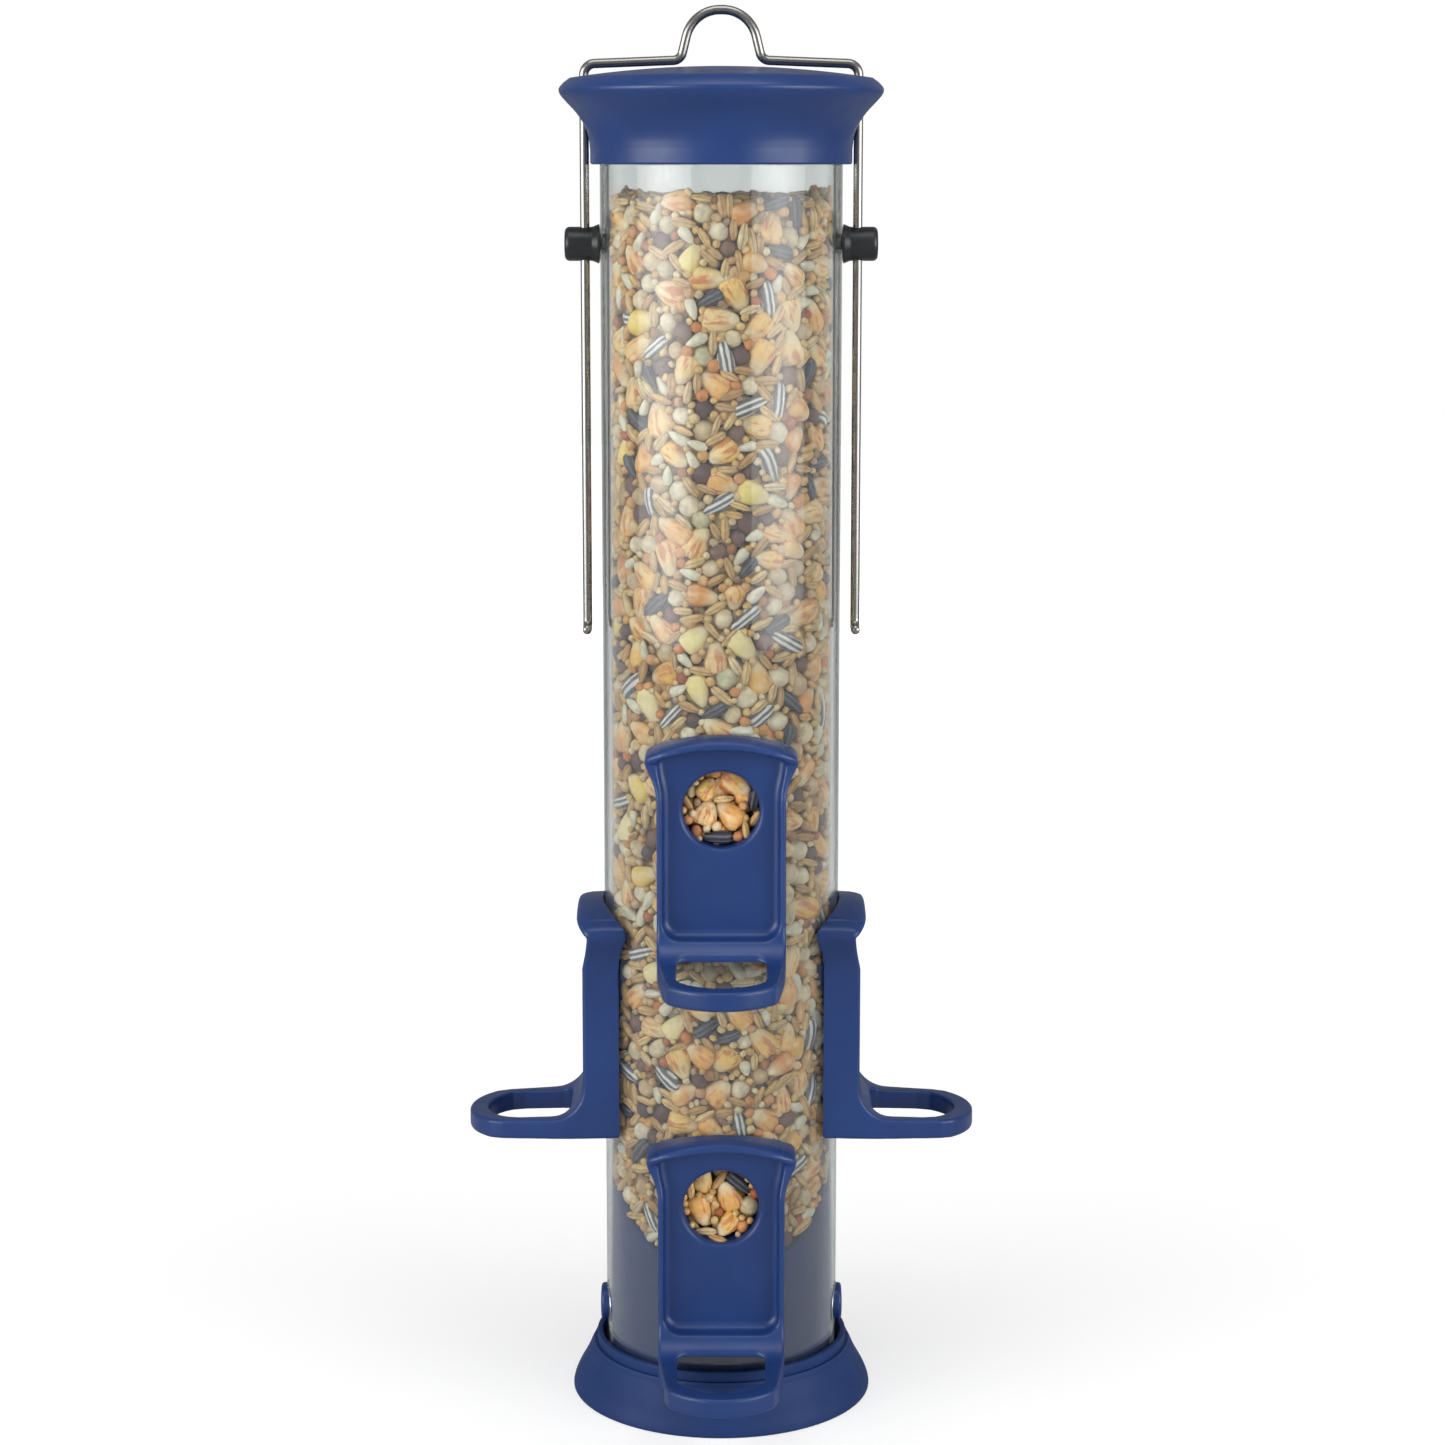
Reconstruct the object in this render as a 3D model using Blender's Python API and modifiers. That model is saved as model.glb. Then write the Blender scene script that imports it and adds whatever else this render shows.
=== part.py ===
"""Tube bird feeder with six feeding ports, a lift-off cap, a sliding wire bail and a drop-out base.

Units are metres and +Z is up. The origin is on the tube's axis, at the underside of the foot.
The front is -Y. Each piece of the feeder is one named object.
"""

import math

import bmesh
import bpy
from mathutils import Matrix, Vector

# Fits that several pieces share
SEAT_GAP = 0.0003
WIRE_GAP = 0.00035
MERGE_DISTANCE = 0.00001
CUT_OVERRUN = 0.004
JOIN_OVERLAP = 0.0012

# Clear tube
TUBE_OUTER_RADIUS = 0.0325
TUBE_WALL = 0.0020
TUBE_LENGTH = 0.3597

# Foot: a collar round the tube, a flared skirt and a floor
FOOT_HEIGHT = 0.0164
FOOT_WALL = 0.0020
FOOT_FLARE = 0.0059
FOOT_COLLAR_CLEARANCE = 0.0012
FOOT_COLLAR_WALL = 0.0016
FOOT_COLLAR_BAND = 0.0028
FOOT_STEP_WIDTH = 0.0009
FOOT_FLOOR_LIFT = 0.0020
FOOT_FLOOR_THICKNESS = 0.0020
FOOT_BOSS_RADIUS = 0.0080
FOOT_BOSS_RISE = 0.0026
FOOT_BOSS_DRAFT = 0.0006
FOOT_EDGE = 0.0004
DRAIN_HOLE_RADIUS = 0.0020
DRAIN_HOLE_COUNT = 6
DRAIN_CIRCLE_SHARE = 0.52
FOOT_FLARE_SHARES = ((0.14, 0.88), (0.31, 0.71), (0.51, 0.54), (0.76, 0.35), (0.93, 0.18), (1.0, 0.06))

# Seed deflector: a hollow plug with a two-way roof
DEFLECTOR_WALL = 0.0018
DEFLECTOR_RIDGE_HEIGHT = 0.0675
DEFLECTOR_EAVE_HEIGHT = 0.0440
DEFLECTOR_POST_RADIUS = 0.0042
ROOF_SHARES = ((1.0, 0.0), (0.82, 0.145), (0.69, 0.27), (0.52, 0.46), (0.37, 0.65), (0.10, 0.98))

# Base screw, driven from below into the deflector's post
SCREW_SHANK_RADIUS = 0.0016
SCREW_HEAD_RADIUS = 0.0034
SCREW_HEAD_HEIGHT = 0.0018
SCREW_HEAD_EDGE = 0.0007
SCREW_HEAD_CLEARANCE = 0.0012
SCREW_DRIVE_RADIUS = 0.0014
SCREW_DRIVE_DEPTH = 0.0009
SCREW_LENGTH = 0.0150

# Spring latch arms with round buttons
LATCH_ARM_THICKNESS = 0.0016
LATCH_ARM_WIDTH = 0.0090
LATCH_ARM_LENGTH = 0.0237
LATCH_ROOT_RADIUS = 0.0015
LATCH_BUTTON_RADIUS = 0.0052
LATCH_BUTTON_HEIGHT = 0.0240
LATCH_BUTTON_PROUD = 0.0018
LATCH_BUTTON_EDGE = 0.0008
LATCH_HOLE_CLEARANCE = 0.0007
LATCH_POCKET_WALL = 0.0012
LATCH_POCKET_HEIGHT = 0.0022

# Cap: a low domed roof, a rounded rim and a skirt round the tube
CAP_WALL = 0.0020
CAP_SKIRT_CLEARANCE = 0.0005
CAP_SKIRT_DEPTH = 0.0213
CAP_RIM_SPREAD = 0.0083
CAP_ROOF_CROWN = 0.0031
CAP_ROOF_RISE = 0.0013
CAP_FLARE_HEIGHT = 0.0186
CAP_RING_CLEARANCE = 0.0005
CAP_RING_WALL = 0.0016
CAP_RING_DEPTH = 0.0080
CAP_RIM_SHARES = (
    (0.65, 1.0), (0.94, 0.92), (1.0, 0.83), (0.93, 0.75), (0.76, 0.67),
    (0.41, 0.495), (0.17, 0.32), (0.05, 0.16), (0.0, 0.0),
)
CAP_HOLLOW_SHARES = ((0.0, 0.32), (0.47, 0.565), (0.98, 0.82), (0.85, 0.89))

# Wire bail: two legs, two shoulders over the roof and a loop
WIRE_RADIUS = 0.00125
BAIL_FOOT_LENGTH = 0.0055
BAIL_FOOT_BEND = 0.0025
BAIL_SHOULDER_BEND = 0.0030
BAIL_NECK_BEND = 0.0026
BAIL_LOOP_HALF_WIDTH = 0.0076
BAIL_NECK_HALF_WIDTH = 0.0108
BAIL_LOOP_HEIGHT = 0.0131
BAIL_LOOP_BEND_SHARE = 1.2
BAIL_SHOULDER_RISE = 0.0010
BAIL_TRAVEL = 0.0980

# Wire guides: barrels on the tube, with a stem and a push-on retainer
GUIDE_DROP = 0.0420
GUIDE_RADIUS = 0.00455
GUIDE_FOOT_RADIUS = 0.0052
GUIDE_FOOT_LENGTH = 0.0028
GUIDE_FOOT_INSET = 0.0007
GUIDE_END_WALL = 0.0038
GUIDE_END_EDGE = 0.0011
GUIDE_STEM_RADIUS = 0.0025
RETAINER_RADIUS = 0.0050
RETAINER_DEPTH = 0.0020
STEM_TAIL = 0.0010

# Feeding port: hood, recess, spigot and loop-shaped perch
PORT_HEIGHT = 0.0661
PORT_HALF_WIDTH = 0.01725
PORT_DEPTH = 0.0057
PORT_SIDE_WALL = 0.0016
PORT_FLOOR = 0.0012
PORT_BACK_SHARE = 0.72
HOOD_LIP = 0.0020
HOOD_SPREAD = 0.0031
HOOD_HEIGHT = 0.0078
HOOD_FLARE_HEIGHT = 0.0175
HOOD_LIP_HEIGHT = 0.0042
HOOD_EDGE_DROP = 0.0026
HOOD_ARCH_DROP = 0.0032
HOOD_BOW = 0.0032
HOOD_BOW_POWER = 4.7
HOOD_BOW_MARGIN = 0.0004
HOOD_PLAN_MARGIN = 0.0004
HOOD_WIDEST_SHARE = 0.42
HOOD_TOP_SHARES = ((0.0, 0.0), (0.74, 0.22), (0.93, 0.52), (1.0, 1.0))
NECK_DEPTH = 0.0014
NECK_LENGTH = 0.0090
HOOD_FRONT_SHARES = ((0.15, 0.25), (0.5, 0.58), (0.85, 0.85))
HOOD_SIDE_SHARES = (
    (0.0, 1.0), (0.12, 0.83), (0.40, 0.67), (0.83, 0.51),
    (1.0, 0.42), (0.97, 0.36), (0.77, 0.285), (0.45, 0.23),
)
RECESS_TOP_MARGIN = 0.0030
RECESS_BOTTOM_MARGIN = 0.0112
RECESS_SPREAD = 0.0015
RECESS_CORNER = 0.0045
RECESS_FILLET = 0.0020
RECESS_SIDE_SHARES = ((0.0, 1.0), (0.15, 0.82), (0.60, 0.63), (0.95, 0.42))
HOLE_DROP = 0.0205
HOLE_RADIUS = 0.0103
HOLE_CHAMFER = 0.0008
SPIGOT_WALL = 0.0015
SPIGOT_REACH_SHARE = 0.77
SPIGOT_HOLE_CLEARANCE = 0.0003
SILL_RADIUS = 0.0095
PERCH_REACH = 0.0325
PERCH_THICKNESS = 0.0052
PERCH_FALL = 0.0008
PERCH_ROOT_SPREAD = 0.0004
PERCH_TAPER = 0.0020
PERCH_ARM_WIDTH = 0.0042
PERCH_BAR_DEPTH = 0.0052
PERCH_TIP_RADIUS = 0.0185
PERCH_TIP_BLEND = 0.0018
PERCH_BACK_MARGIN = 0.0040
PERCH_OPENING_CORNER = 0.0032

# Seed baffle on each spigot, inside the tube
BAFFLE_WALL = 0.0019
BAFFLE_REACH_SHARE = 0.49
BAFFLE_RING_SHARE = 0.80

# Where the ports stand: the top of the hood, and the side of the tube that the port is on
PORT_TOPS = {"upper": 0.1941, "middle": 0.1426, "lower": 0.0836}
PORT_PLACES = (
    ("upper", "front", 0), ("upper", "back", 180),
    ("middle", "left", -90), ("middle", "right", 90),
    ("lower", "front", 0), ("lower", "back", 180),
)

# Facets
TURN_STEPS = 36
HOLE_STEPS = 20
SMALL_STEPS = 14
ARCH_STEPS = 6
BOW_STEPS = 10
TIP_STEPS = 5
ROOF_STEPS = 4
BEND_STEPS = 4
SMOOTH_ANGLE = math.radians(35)

# Side of the cube that every box is scaled from
UNIT_CUBE = 1.0

# Places that follow from the sizes above
TUBE_INNER_RADIUS = TUBE_OUTER_RADIUS - TUBE_WALL
FLOOR_TOP = FOOT_FLOOR_LIFT + FOOT_FLOOR_THICKNESS
TUBE_BOTTOM = FLOOR_TOP + SEAT_GAP
TUBE_TOP = TUBE_BOTTOM + TUBE_LENGTH
GUIDE_HEIGHT = TUBE_TOP - GUIDE_DROP
CAP_SEAT = TUBE_TOP + SEAT_GAP
CAP_SKIRT_INNER = TUBE_OUTER_RADIUS + CAP_SKIRT_CLEARANCE
CAP_SKIRT_OUTER = CAP_SKIRT_INNER + CAP_WALL
WIRE_OFFSET = CAP_SKIRT_OUTER + WIRE_GAP + WIRE_RADIUS
WIRE_HOLE_RADIUS = WIRE_RADIUS + WIRE_GAP
PLUG_RADIUS = TUBE_INNER_RADIUS - SEAT_GAP
SPIGOT_RADIUS = HOLE_RADIUS + SPIGOT_WALL
PORT_HOLE_RADIUS = SPIGOT_RADIUS + SPIGOT_HOLE_CLEARANCE
PORT_FACE = TUBE_OUTER_RADIUS + PORT_DEPTH
LATCH_HOLE_RADIUS = LATCH_BUTTON_RADIUS + LATCH_HOLE_CLEARANCE
LATCH_AXIS_HEIGHT = FLOOR_TOP + SEAT_GAP + LATCH_ROOT_RADIUS
PLUG_INNER_RADIUS = PLUG_RADIUS - DEFLECTOR_WALL
LATCH_ROOT_LIMIT = math.sqrt(PLUG_INNER_RADIUS ** 2 - (LATCH_ARM_WIDTH / 2) ** 2)
LATCH_AXIS_OFFSET = LATCH_ROOT_LIMIT - SEAT_GAP - LATCH_ROOT_RADIUS


def clear_scene():
    """Remove every object that the file starts with."""
    for old in list(bpy.data.objects):
        bpy.data.objects.remove(old, do_unlink=True)


def new_collection(name):
    group = bpy.data.collections.new(name)
    bpy.context.scene.collection.children.link(group)
    return group


def new_material(name, colour, roughness, metallic=0.0, alpha=1.0):
    material = bpy.data.materials.new(name)
    material.use_nodes = True
    shader = material.node_tree.nodes["Principled BSDF"]
    shader.inputs["Base Color"].default_value = (*colour, 1.0)
    shader.inputs["Roughness"].default_value = roughness
    shader.inputs["Metallic"].default_value = metallic
    shader.inputs["Alpha"].default_value = alpha
    material.diffuse_color = (*colour, alpha)
    return material


def place(piece, group, material=None, parent=None):
    """Link a piece to its collection and give it its material and parent."""
    group.objects.link(piece)
    if material is not None:
        piece.data.materials.clear()
        piece.data.materials.append(material)
    if parent is not None:
        piece.parent = parent
    return piece


def hide_cutter(piece, group):
    group.objects.link(piece)
    piece.hide_render = True
    piece.display_type = "WIRE"
    return piece


def carve(piece, cutter, operation="DIFFERENCE"):
    """Add an exact Boolean of the cutter to the piece."""
    cut = piece.modifiers.new(operation.lower(), "BOOLEAN")
    cut.operation = operation
    cut.solver = "EXACT"
    cut.object = cutter


def turned(name, outline, steps=TURN_STEPS, closed=True):
    """Turn an outline of (radius, height) points about Z. One that ends on the axis isn't closed."""
    mesh = bpy.data.meshes.new(name)
    edges = [(index, index + 1) for index in range(len(outline) - 1)]
    if closed:
        edges.append((len(outline) - 1, 0))
    mesh.from_pydata([(radius, 0, height) for radius, height in outline], edges, [])
    piece = bpy.data.objects.new(name, mesh)
    screw = piece.modifiers.new("turn", "SCREW")
    screw.steps = steps
    screw.render_steps = steps
    screw.use_merge_vertices = True
    screw.merge_threshold = MERGE_DISTANCE
    screw.use_smooth_shade = True
    return piece


def cylinder(name, radius, low, high, axis="Z", end_radius=None, steps=HOLE_STEPS):
    """A capped cylinder or cone along an axis, from low to high on it."""
    mesh = bpy.data.meshes.new(name)
    shape = bmesh.new()
    top_radius = radius if end_radius is None else end_radius
    bmesh.ops.create_cone(
        shape, cap_ends=True, segments=steps, radius1=radius, radius2=top_radius, depth=high - low)
    bmesh.ops.translate(shape, verts=shape.verts, vec=(0, 0, (low + high) / 2))
    turns = {
        "Z": Matrix.Identity(3),
        "X": Matrix.Rotation(math.radians(90), 3, "Y"),
        "-Y": Matrix.Rotation(math.radians(90), 3, "X"),
    }
    bmesh.ops.transform(shape, verts=shape.verts, matrix=turns[axis].to_4x4())
    shape.to_mesh(mesh)
    shape.free()
    return bpy.data.objects.new(name, mesh)


def box(name, low, high):
    """A box between two corners."""
    mesh = bpy.data.meshes.new(name)
    shape = bmesh.new()
    bmesh.ops.create_cube(shape, size=UNIT_CUBE)
    size = Vector(high) - Vector(low)
    middle = (Vector(high) + Vector(low)) / 2
    bmesh.ops.scale(shape, verts=shape.verts, vec=size)
    bmesh.ops.translate(shape, verts=shape.verts, vec=middle)
    shape.to_mesh(mesh)
    shape.free()
    return bpy.data.objects.new(name, mesh)


def prism(name, points, sweep, fillet=0.0):
    """Extrude a flat outline of 3-D points along a vector, with an optional fillet round its first face."""
    mesh = bpy.data.meshes.new(name)
    shape = bmesh.new()
    face = shape.faces.new([shape.verts.new(point) for point in points])
    rim = list(face.edges)
    grown = bmesh.ops.extrude_face_region(shape, geom=[face], use_keep_orig=True)
    moved = [item for item in grown["geom"] if isinstance(item, bmesh.types.BMVert)]
    bmesh.ops.translate(shape, verts=moved, vec=sweep)
    if fillet > 0:
        bmesh.ops.bevel(
            shape, geom=rim, offset=fillet, offset_type="OFFSET", segments=2, profile=0.5, affect="EDGES")
    bmesh.ops.recalc_face_normals(shape, faces=shape.faces)
    shape.to_mesh(mesh)
    shape.free()
    return bpy.data.objects.new(name, mesh)


def loft(name, rings):
    """A closed body through rings of 3-D points, each ring with the same number of points."""
    count = len(rings[0])
    points = [point for ring in rings for point in ring]
    last = (len(rings) - 1) * count
    faces = [range(count), range(last, last + count)]
    for base in range(0, last, count):
        for index in range(count):
            after = (index + 1) % count
            faces.append((base + index, base + after, base + count + after, base + count + index))
    mesh = bpy.data.meshes.new(name)
    mesh.from_pydata(points, [], [list(face) for face in faces])
    shape = bmesh.new()
    shape.from_mesh(mesh)
    bmesh.ops.recalc_face_normals(shape, faces=shape.faces)
    shape.to_mesh(mesh)
    shape.free()
    return bpy.data.objects.new(name, mesh)


def arc(centre, radius, start, end, steps):
    """Points on an arc, from one angle in degrees to another."""
    points = []
    for index in range(steps + 1):
        angle = math.radians(start + (end - start) * index / steps)
        points.append((centre[0] + radius * math.cos(angle), centre[1] + radius * math.sin(angle)))
    return points


def rounded_path(corners, steps):
    """A path through 3-D corners, each given as (point, bend radius), with the bends as arcs."""
    path = [Vector(corners[0][0])]
    for index in range(1, len(corners) - 1):
        point = Vector(corners[index][0])
        towards_last = (Vector(corners[index - 1][0]) - point).normalized()
        towards_next = (Vector(corners[index + 1][0]) - point).normalized()
        half = towards_last.angle(towards_next) / 2
        radius = corners[index][1]
        centre = point + (towards_last + towards_next).normalized() * radius / math.sin(half)
        first = (point + towards_last * radius / math.tan(half) - centre).normalized()
        last = (point + towards_next * radius / math.tan(half) - centre).normalized()
        for step in range(steps + 1):
            path.append(centre + first.slerp(last, step / steps) * radius)
    path.append(Vector(corners[-1][0]))
    return path


def wire_mesh(name, path, radius):
    """A round wire along a path, as a mesh with its end caps welded."""
    curve = bpy.data.curves.new(name, "CURVE")
    curve.dimensions = "3D"
    spline = curve.splines.new("POLY")
    spline.points.add(len(path) - 1)
    for point, position in zip(spline.points, path):
        point.co = (*position, 1.0)
    curve.bevel_depth = radius
    curve.bevel_resolution = 3
    curve.use_fill_caps = True
    source = bpy.data.objects.new(name, curve)
    bpy.context.scene.collection.objects.link(source)
    mesh = baked_mesh(source)
    shape = bmesh.new()
    shape.from_mesh(mesh)
    bmesh.ops.remove_doubles(shape, verts=shape.verts, dist=MERGE_DISTANCE)
    shape.to_mesh(mesh)
    shape.free()
    return mesh


def baked_mesh(piece):
    """The mesh of an object with its modifiers applied. The object is removed."""
    bpy.context.view_layer.update()
    depsgraph = bpy.context.evaluated_depsgraph_get()
    mesh = bpy.data.meshes.new_from_object(piece.evaluated_get(depsgraph), depsgraph=depsgraph)
    mesh.name = piece.name
    bpy.data.objects.remove(piece, do_unlink=True)
    mesh.shade_smooth()
    mesh.set_sharp_from_angle(angle=SMOOTH_ANGLE)
    return mesh


def bake(piece, cutters):
    """Apply a piece's modifiers on a scratch link and drop its cutters."""
    for item in [piece, *cutters]:
        if not item.users_collection:
            bpy.context.scene.collection.objects.link(item)
    mesh = baked_mesh(piece)
    for cutter in cutters:
        bpy.data.objects.remove(cutter, do_unlink=True)
    return mesh


def copy_of(mesh, name, group, material, location, turn=0, parent=None):
    """An object that shares a mesh, turned in degrees about Z."""
    piece = bpy.data.objects.new(name, mesh)
    piece.location = location
    piece.rotation_euler = (0, 0, math.radians(turn))
    return place(piece, group, material, parent)


def empty_at(name, group, location, parent=None):
    """An empty on a joint's axis."""
    pivot = bpy.data.objects.new(name, None)
    pivot.empty_display_size = TUBE_OUTER_RADIUS
    pivot.location = location
    group.objects.link(pivot)
    pivot.parent = parent
    return pivot


def port_side_outline():
    """The port seen from its side: (distance from the tube's axis, height from the hole's centre)."""
    top = HOLE_DROP
    bottom = HOLE_DROP - PORT_HEIGHT
    back = TUBE_OUTER_RADIUS * PORT_BACK_SHARE
    lip = PORT_FACE + HOOD_LIP
    neck = PORT_FACE - NECK_DEPTH
    tip = PORT_FACE + PERCH_REACH + CUT_OVERRUN
    perch_top = bottom + PERCH_FALL + PERCH_THICKNESS
    perch_end = bottom + PERCH_THICKNESS
    lip_low = top - HOOD_LIP_HEIGHT
    neck_height = top - HOOD_HEIGHT
    outline = [(back, top), (lip, top), (lip, lip_low)]
    for inward, down in HOOD_FRONT_SHARES:
        outline.append((lip + (neck - lip) * inward, lip_low + (neck_height - lip_low) * down))
    outline += [(neck, neck_height), (PORT_FACE, neck_height - NECK_LENGTH)]
    outline += arc((PORT_FACE + SILL_RADIUS, perch_top + SILL_RADIUS), SILL_RADIUS, 180, 270, 5)
    outline += [(tip, perch_end), (tip, bottom)]
    outline += [(TUBE_OUTER_RADIUS, bottom + PERCH_FALL), (back, bottom + PERCH_FALL)]
    return outline


def arch_height(across):
    """How far the hood's arched top lies below its middle, at a distance across the port."""
    return HOOD_ARCH_DROP * (across / PORT_HALF_WIDTH) ** 2


def lip_reach(across):
    """How far the hood's bowed lip stands from the tube's axis, at a distance across the port."""
    return PORT_FACE + HOOD_LIP - HOOD_BOW * (abs(across) / (PORT_HALF_WIDTH + HOOD_SPREAD)) ** HOOD_BOW_POWER


def flared_outline(half_width, spread, side_shares, top, bottom, corner):
    """A front view: straight sides that flare to round shoulders under an arched top, and lower corners."""
    if corner > 0:
        right = arc((half_width - corner, bottom + corner), corner, -90, 0, 3)
    else:
        right = [(half_width, bottom)]
    for out, down in side_shares:
        right.append((half_width + spread * out, HOLE_DROP - HOOD_FLARE_HEIGHT * down))
    arch = []
    for index in range(ARCH_STEPS + 1):
        across = half_width * (1 - 2 * index / ARCH_STEPS)
        arch.append((across, top - arch_height(across)))
    left = [(-across, height) for across, height in reversed(right)]
    return right + arch + left


def tip_side(half_width, radius):
    """One side of a round tip from above: the end of the straight side, a blend and the arc to the middle."""
    centre = PORT_FACE + PERCH_REACH - PERCH_TIP_RADIUS
    start = math.acos(half_width / radius)
    side_end = (half_width, centre + radius * math.sin(start) - PERCH_TIP_BLEND)
    first = math.degrees(start + PERCH_TIP_BLEND / radius)
    return [side_end, *arc((0, centre), radius, first, 90, TIP_STEPS)]


def mirrored(right):
    """A closed outline from its right half, which ends on the middle line."""
    return right + [(-across, out) for across, out in reversed(right[:-1])]


def perch_plan_outline():
    """The port from above: full width as far as the hood's lip, then the perch with its round tip."""
    lip = PORT_FACE + HOOD_LIP + HOOD_PLAN_MARGIN
    wide = PORT_HALF_WIDTH + HOOD_SPREAD + CUT_OVERRUN
    root = PORT_HALF_WIDTH + PERCH_ROOT_SPREAD
    right = [(wide, TUBE_OUTER_RADIUS * PORT_BACK_SHARE - CUT_OVERRUN), (wide, lip), (root, lip)]
    return mirrored(right + tip_side(PORT_HALF_WIDTH - PERCH_TAPER, PERCH_TIP_RADIUS))


def perch_opening_half():
    """Half the width of the opening in the perch."""
    return PORT_HALF_WIDTH - PERCH_TAPER / 2 - PERCH_ARM_WIDTH


def perch_opening_outline():
    """The opening in the perch from above, with rounded corners and a front edge that follows the tip."""
    back = PORT_FACE + PERCH_BACK_MARGIN
    half = perch_opening_half()
    corner = PERCH_OPENING_CORNER
    right = arc((half - corner, back + corner), corner, -90, 0, 3)
    return mirrored(right + tip_side(half, PERCH_TIP_RADIUS - PERCH_BAR_DEPTH))


def undercut_outline():
    """The hollow under the sill from above, from the tube's wall to past the opening's rounded corners."""
    half = perch_opening_half()
    near = TUBE_OUTER_RADIUS * PORT_BACK_SHARE
    far = PORT_FACE + PERCH_BACK_MARGIN + PERCH_OPENING_CORNER
    return [(-half, near), (half, near), (half, far), (-half, far)]


def hood_rings():
    """The port's front view at several depths, so that the hood's top rounds over along its bowed lip."""
    low = HOLE_DROP - PORT_HEIGHT - CUT_OVERRUN
    widest = HOLE_DROP - HOOD_FLARE_HEIGHT * HOOD_WIDEST_SHARE
    shoulder = HOLE_DROP - HOOD_ARCH_DROP
    start = TUBE_OUTER_RADIUS
    view = flared_outline(PORT_HALF_WIDTH, HOOD_SPREAD, HOOD_SIDE_SHARES, HOLE_DROP, low, 0)
    rings = []
    for out, down in HOOD_TOP_SHARES:
        ring = []
        for x, z in view:
            share = min(1, max(0, (z - widest) / (shoulder - widest)))
            ring.append((x, -start - (lip_reach(x) - start) * out, z - HOOD_EDGE_DROP * down * share))
        rings.append(ring)
    reach = PORT_FACE + PERCH_REACH + CUT_OVERRUN
    first = [(x, 0, z) for x, _, z in rings[0]]
    return [first, *rings, [(x, -reach, z) for x, _, z in rings[-1]]]


def bow_outline():
    """What the bowed lip leaves off in front of the hood, from above."""
    wide = PORT_HALF_WIDTH + HOOD_SPREAD + HOOD_PLAN_MARGIN
    far = PORT_FACE + PERCH_REACH
    points = [(wide, far)]
    for index in range(BOW_STEPS + 1):
        across = wide * (1 - 2 * index / BOW_STEPS)
        points.append((across, lip_reach(across)))
    return points + [(-wide, far)]


def port_mesh():
    """One port, facing -Y, with its origin on the tube's axis at the hole's height."""
    side = port_side_outline()
    wide = PORT_HALF_WIDTH + HOOD_SPREAD + CUT_OVERRUN
    reach = PORT_FACE + PERCH_REACH + CUT_OVERRUN
    top = HOLE_DROP
    bottom = HOLE_DROP - PORT_HEIGHT
    back = TUBE_OUTER_RADIUS * PORT_BACK_SHARE
    body = prism("port", [(-wide, -out, up) for out, up in side], (2 * wide, 0, 0))
    front_block = loft("front_block", hood_rings())
    bow_low = top - HOOD_HEIGHT - HOOD_BOW_MARGIN
    bow_block = prism("bow_block", [(x, -out, bow_low) for x, out in bow_outline()], (0, 0, HOLE_DROP))
    plan = perch_plan_outline()
    low = bottom - CUT_OVERRUN
    plan_block = prism(
        "plan_block", [(x, -out, low) for x, out in plan], (0, 0, PORT_HEIGHT + 2 * CUT_OVERRUN))
    tube_block = cylinder(
        "tube_block", TUBE_OUTER_RADIUS + SEAT_GAP, bottom - CUT_OVERRUN, top + CUT_OVERRUN, steps=TURN_STEPS)
    floor = TUBE_OUTER_RADIUS + SEAT_GAP + PORT_FLOOR
    recess = flared_outline(
        PORT_HALF_WIDTH - PORT_SIDE_WALL, RECESS_SPREAD, RECESS_SIDE_SHARES,
        top - RECESS_TOP_MARGIN, bottom + RECESS_BOTTOM_MARGIN, RECESS_CORNER)
    recess_block = prism(
        "recess_block", [(x, -floor, z) for x, z in recess], (0, floor - reach, 0), fillet=RECESS_FILLET)
    opening = perch_opening_outline()
    opening_block = prism(
        "opening_block", [(x, -out, low) for x, out in opening], (0, 0, HOLE_DROP + CUT_OVERRUN))
    undercut_block = prism(
        "undercut_block", [(x, -out, low) for x, out in undercut_outline()],
        (0, 0, PERCH_FALL + PERCH_THICKNESS + CUT_OVERRUN))
    spigot_end = TUBE_OUTER_RADIUS * SPIGOT_REACH_SHARE
    spigot = cylinder("spigot", SPIGOT_RADIUS, spigot_end, floor - SEAT_GAP, axis="-Y")
    bore = cylinder("bore", HOLE_RADIUS, back - CUT_OVERRUN, reach, axis="-Y")
    chamfer = cylinder(
        "chamfer", HOLE_RADIUS - HOLE_CHAMFER, floor - 2 * HOLE_CHAMFER, floor + HOLE_CHAMFER, axis="-Y",
        end_radius=HOLE_RADIUS + 2 * HOLE_CHAMFER)
    carve(body, front_block, "INTERSECT")
    carve(body, bow_block)
    carve(body, plan_block, "INTERSECT")
    carve(body, tube_block)
    carve(body, recess_block)
    carve(body, opening_block)
    carve(body, undercut_block)
    carve(body, spigot, "UNION")
    carve(body, bore)
    carve(body, chamfer)
    blocks = [front_block, bow_block, plan_block, tube_block, recess_block, opening_block, undercut_block]
    return bake(body, [*blocks, spigot, bore, chamfer])


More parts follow.
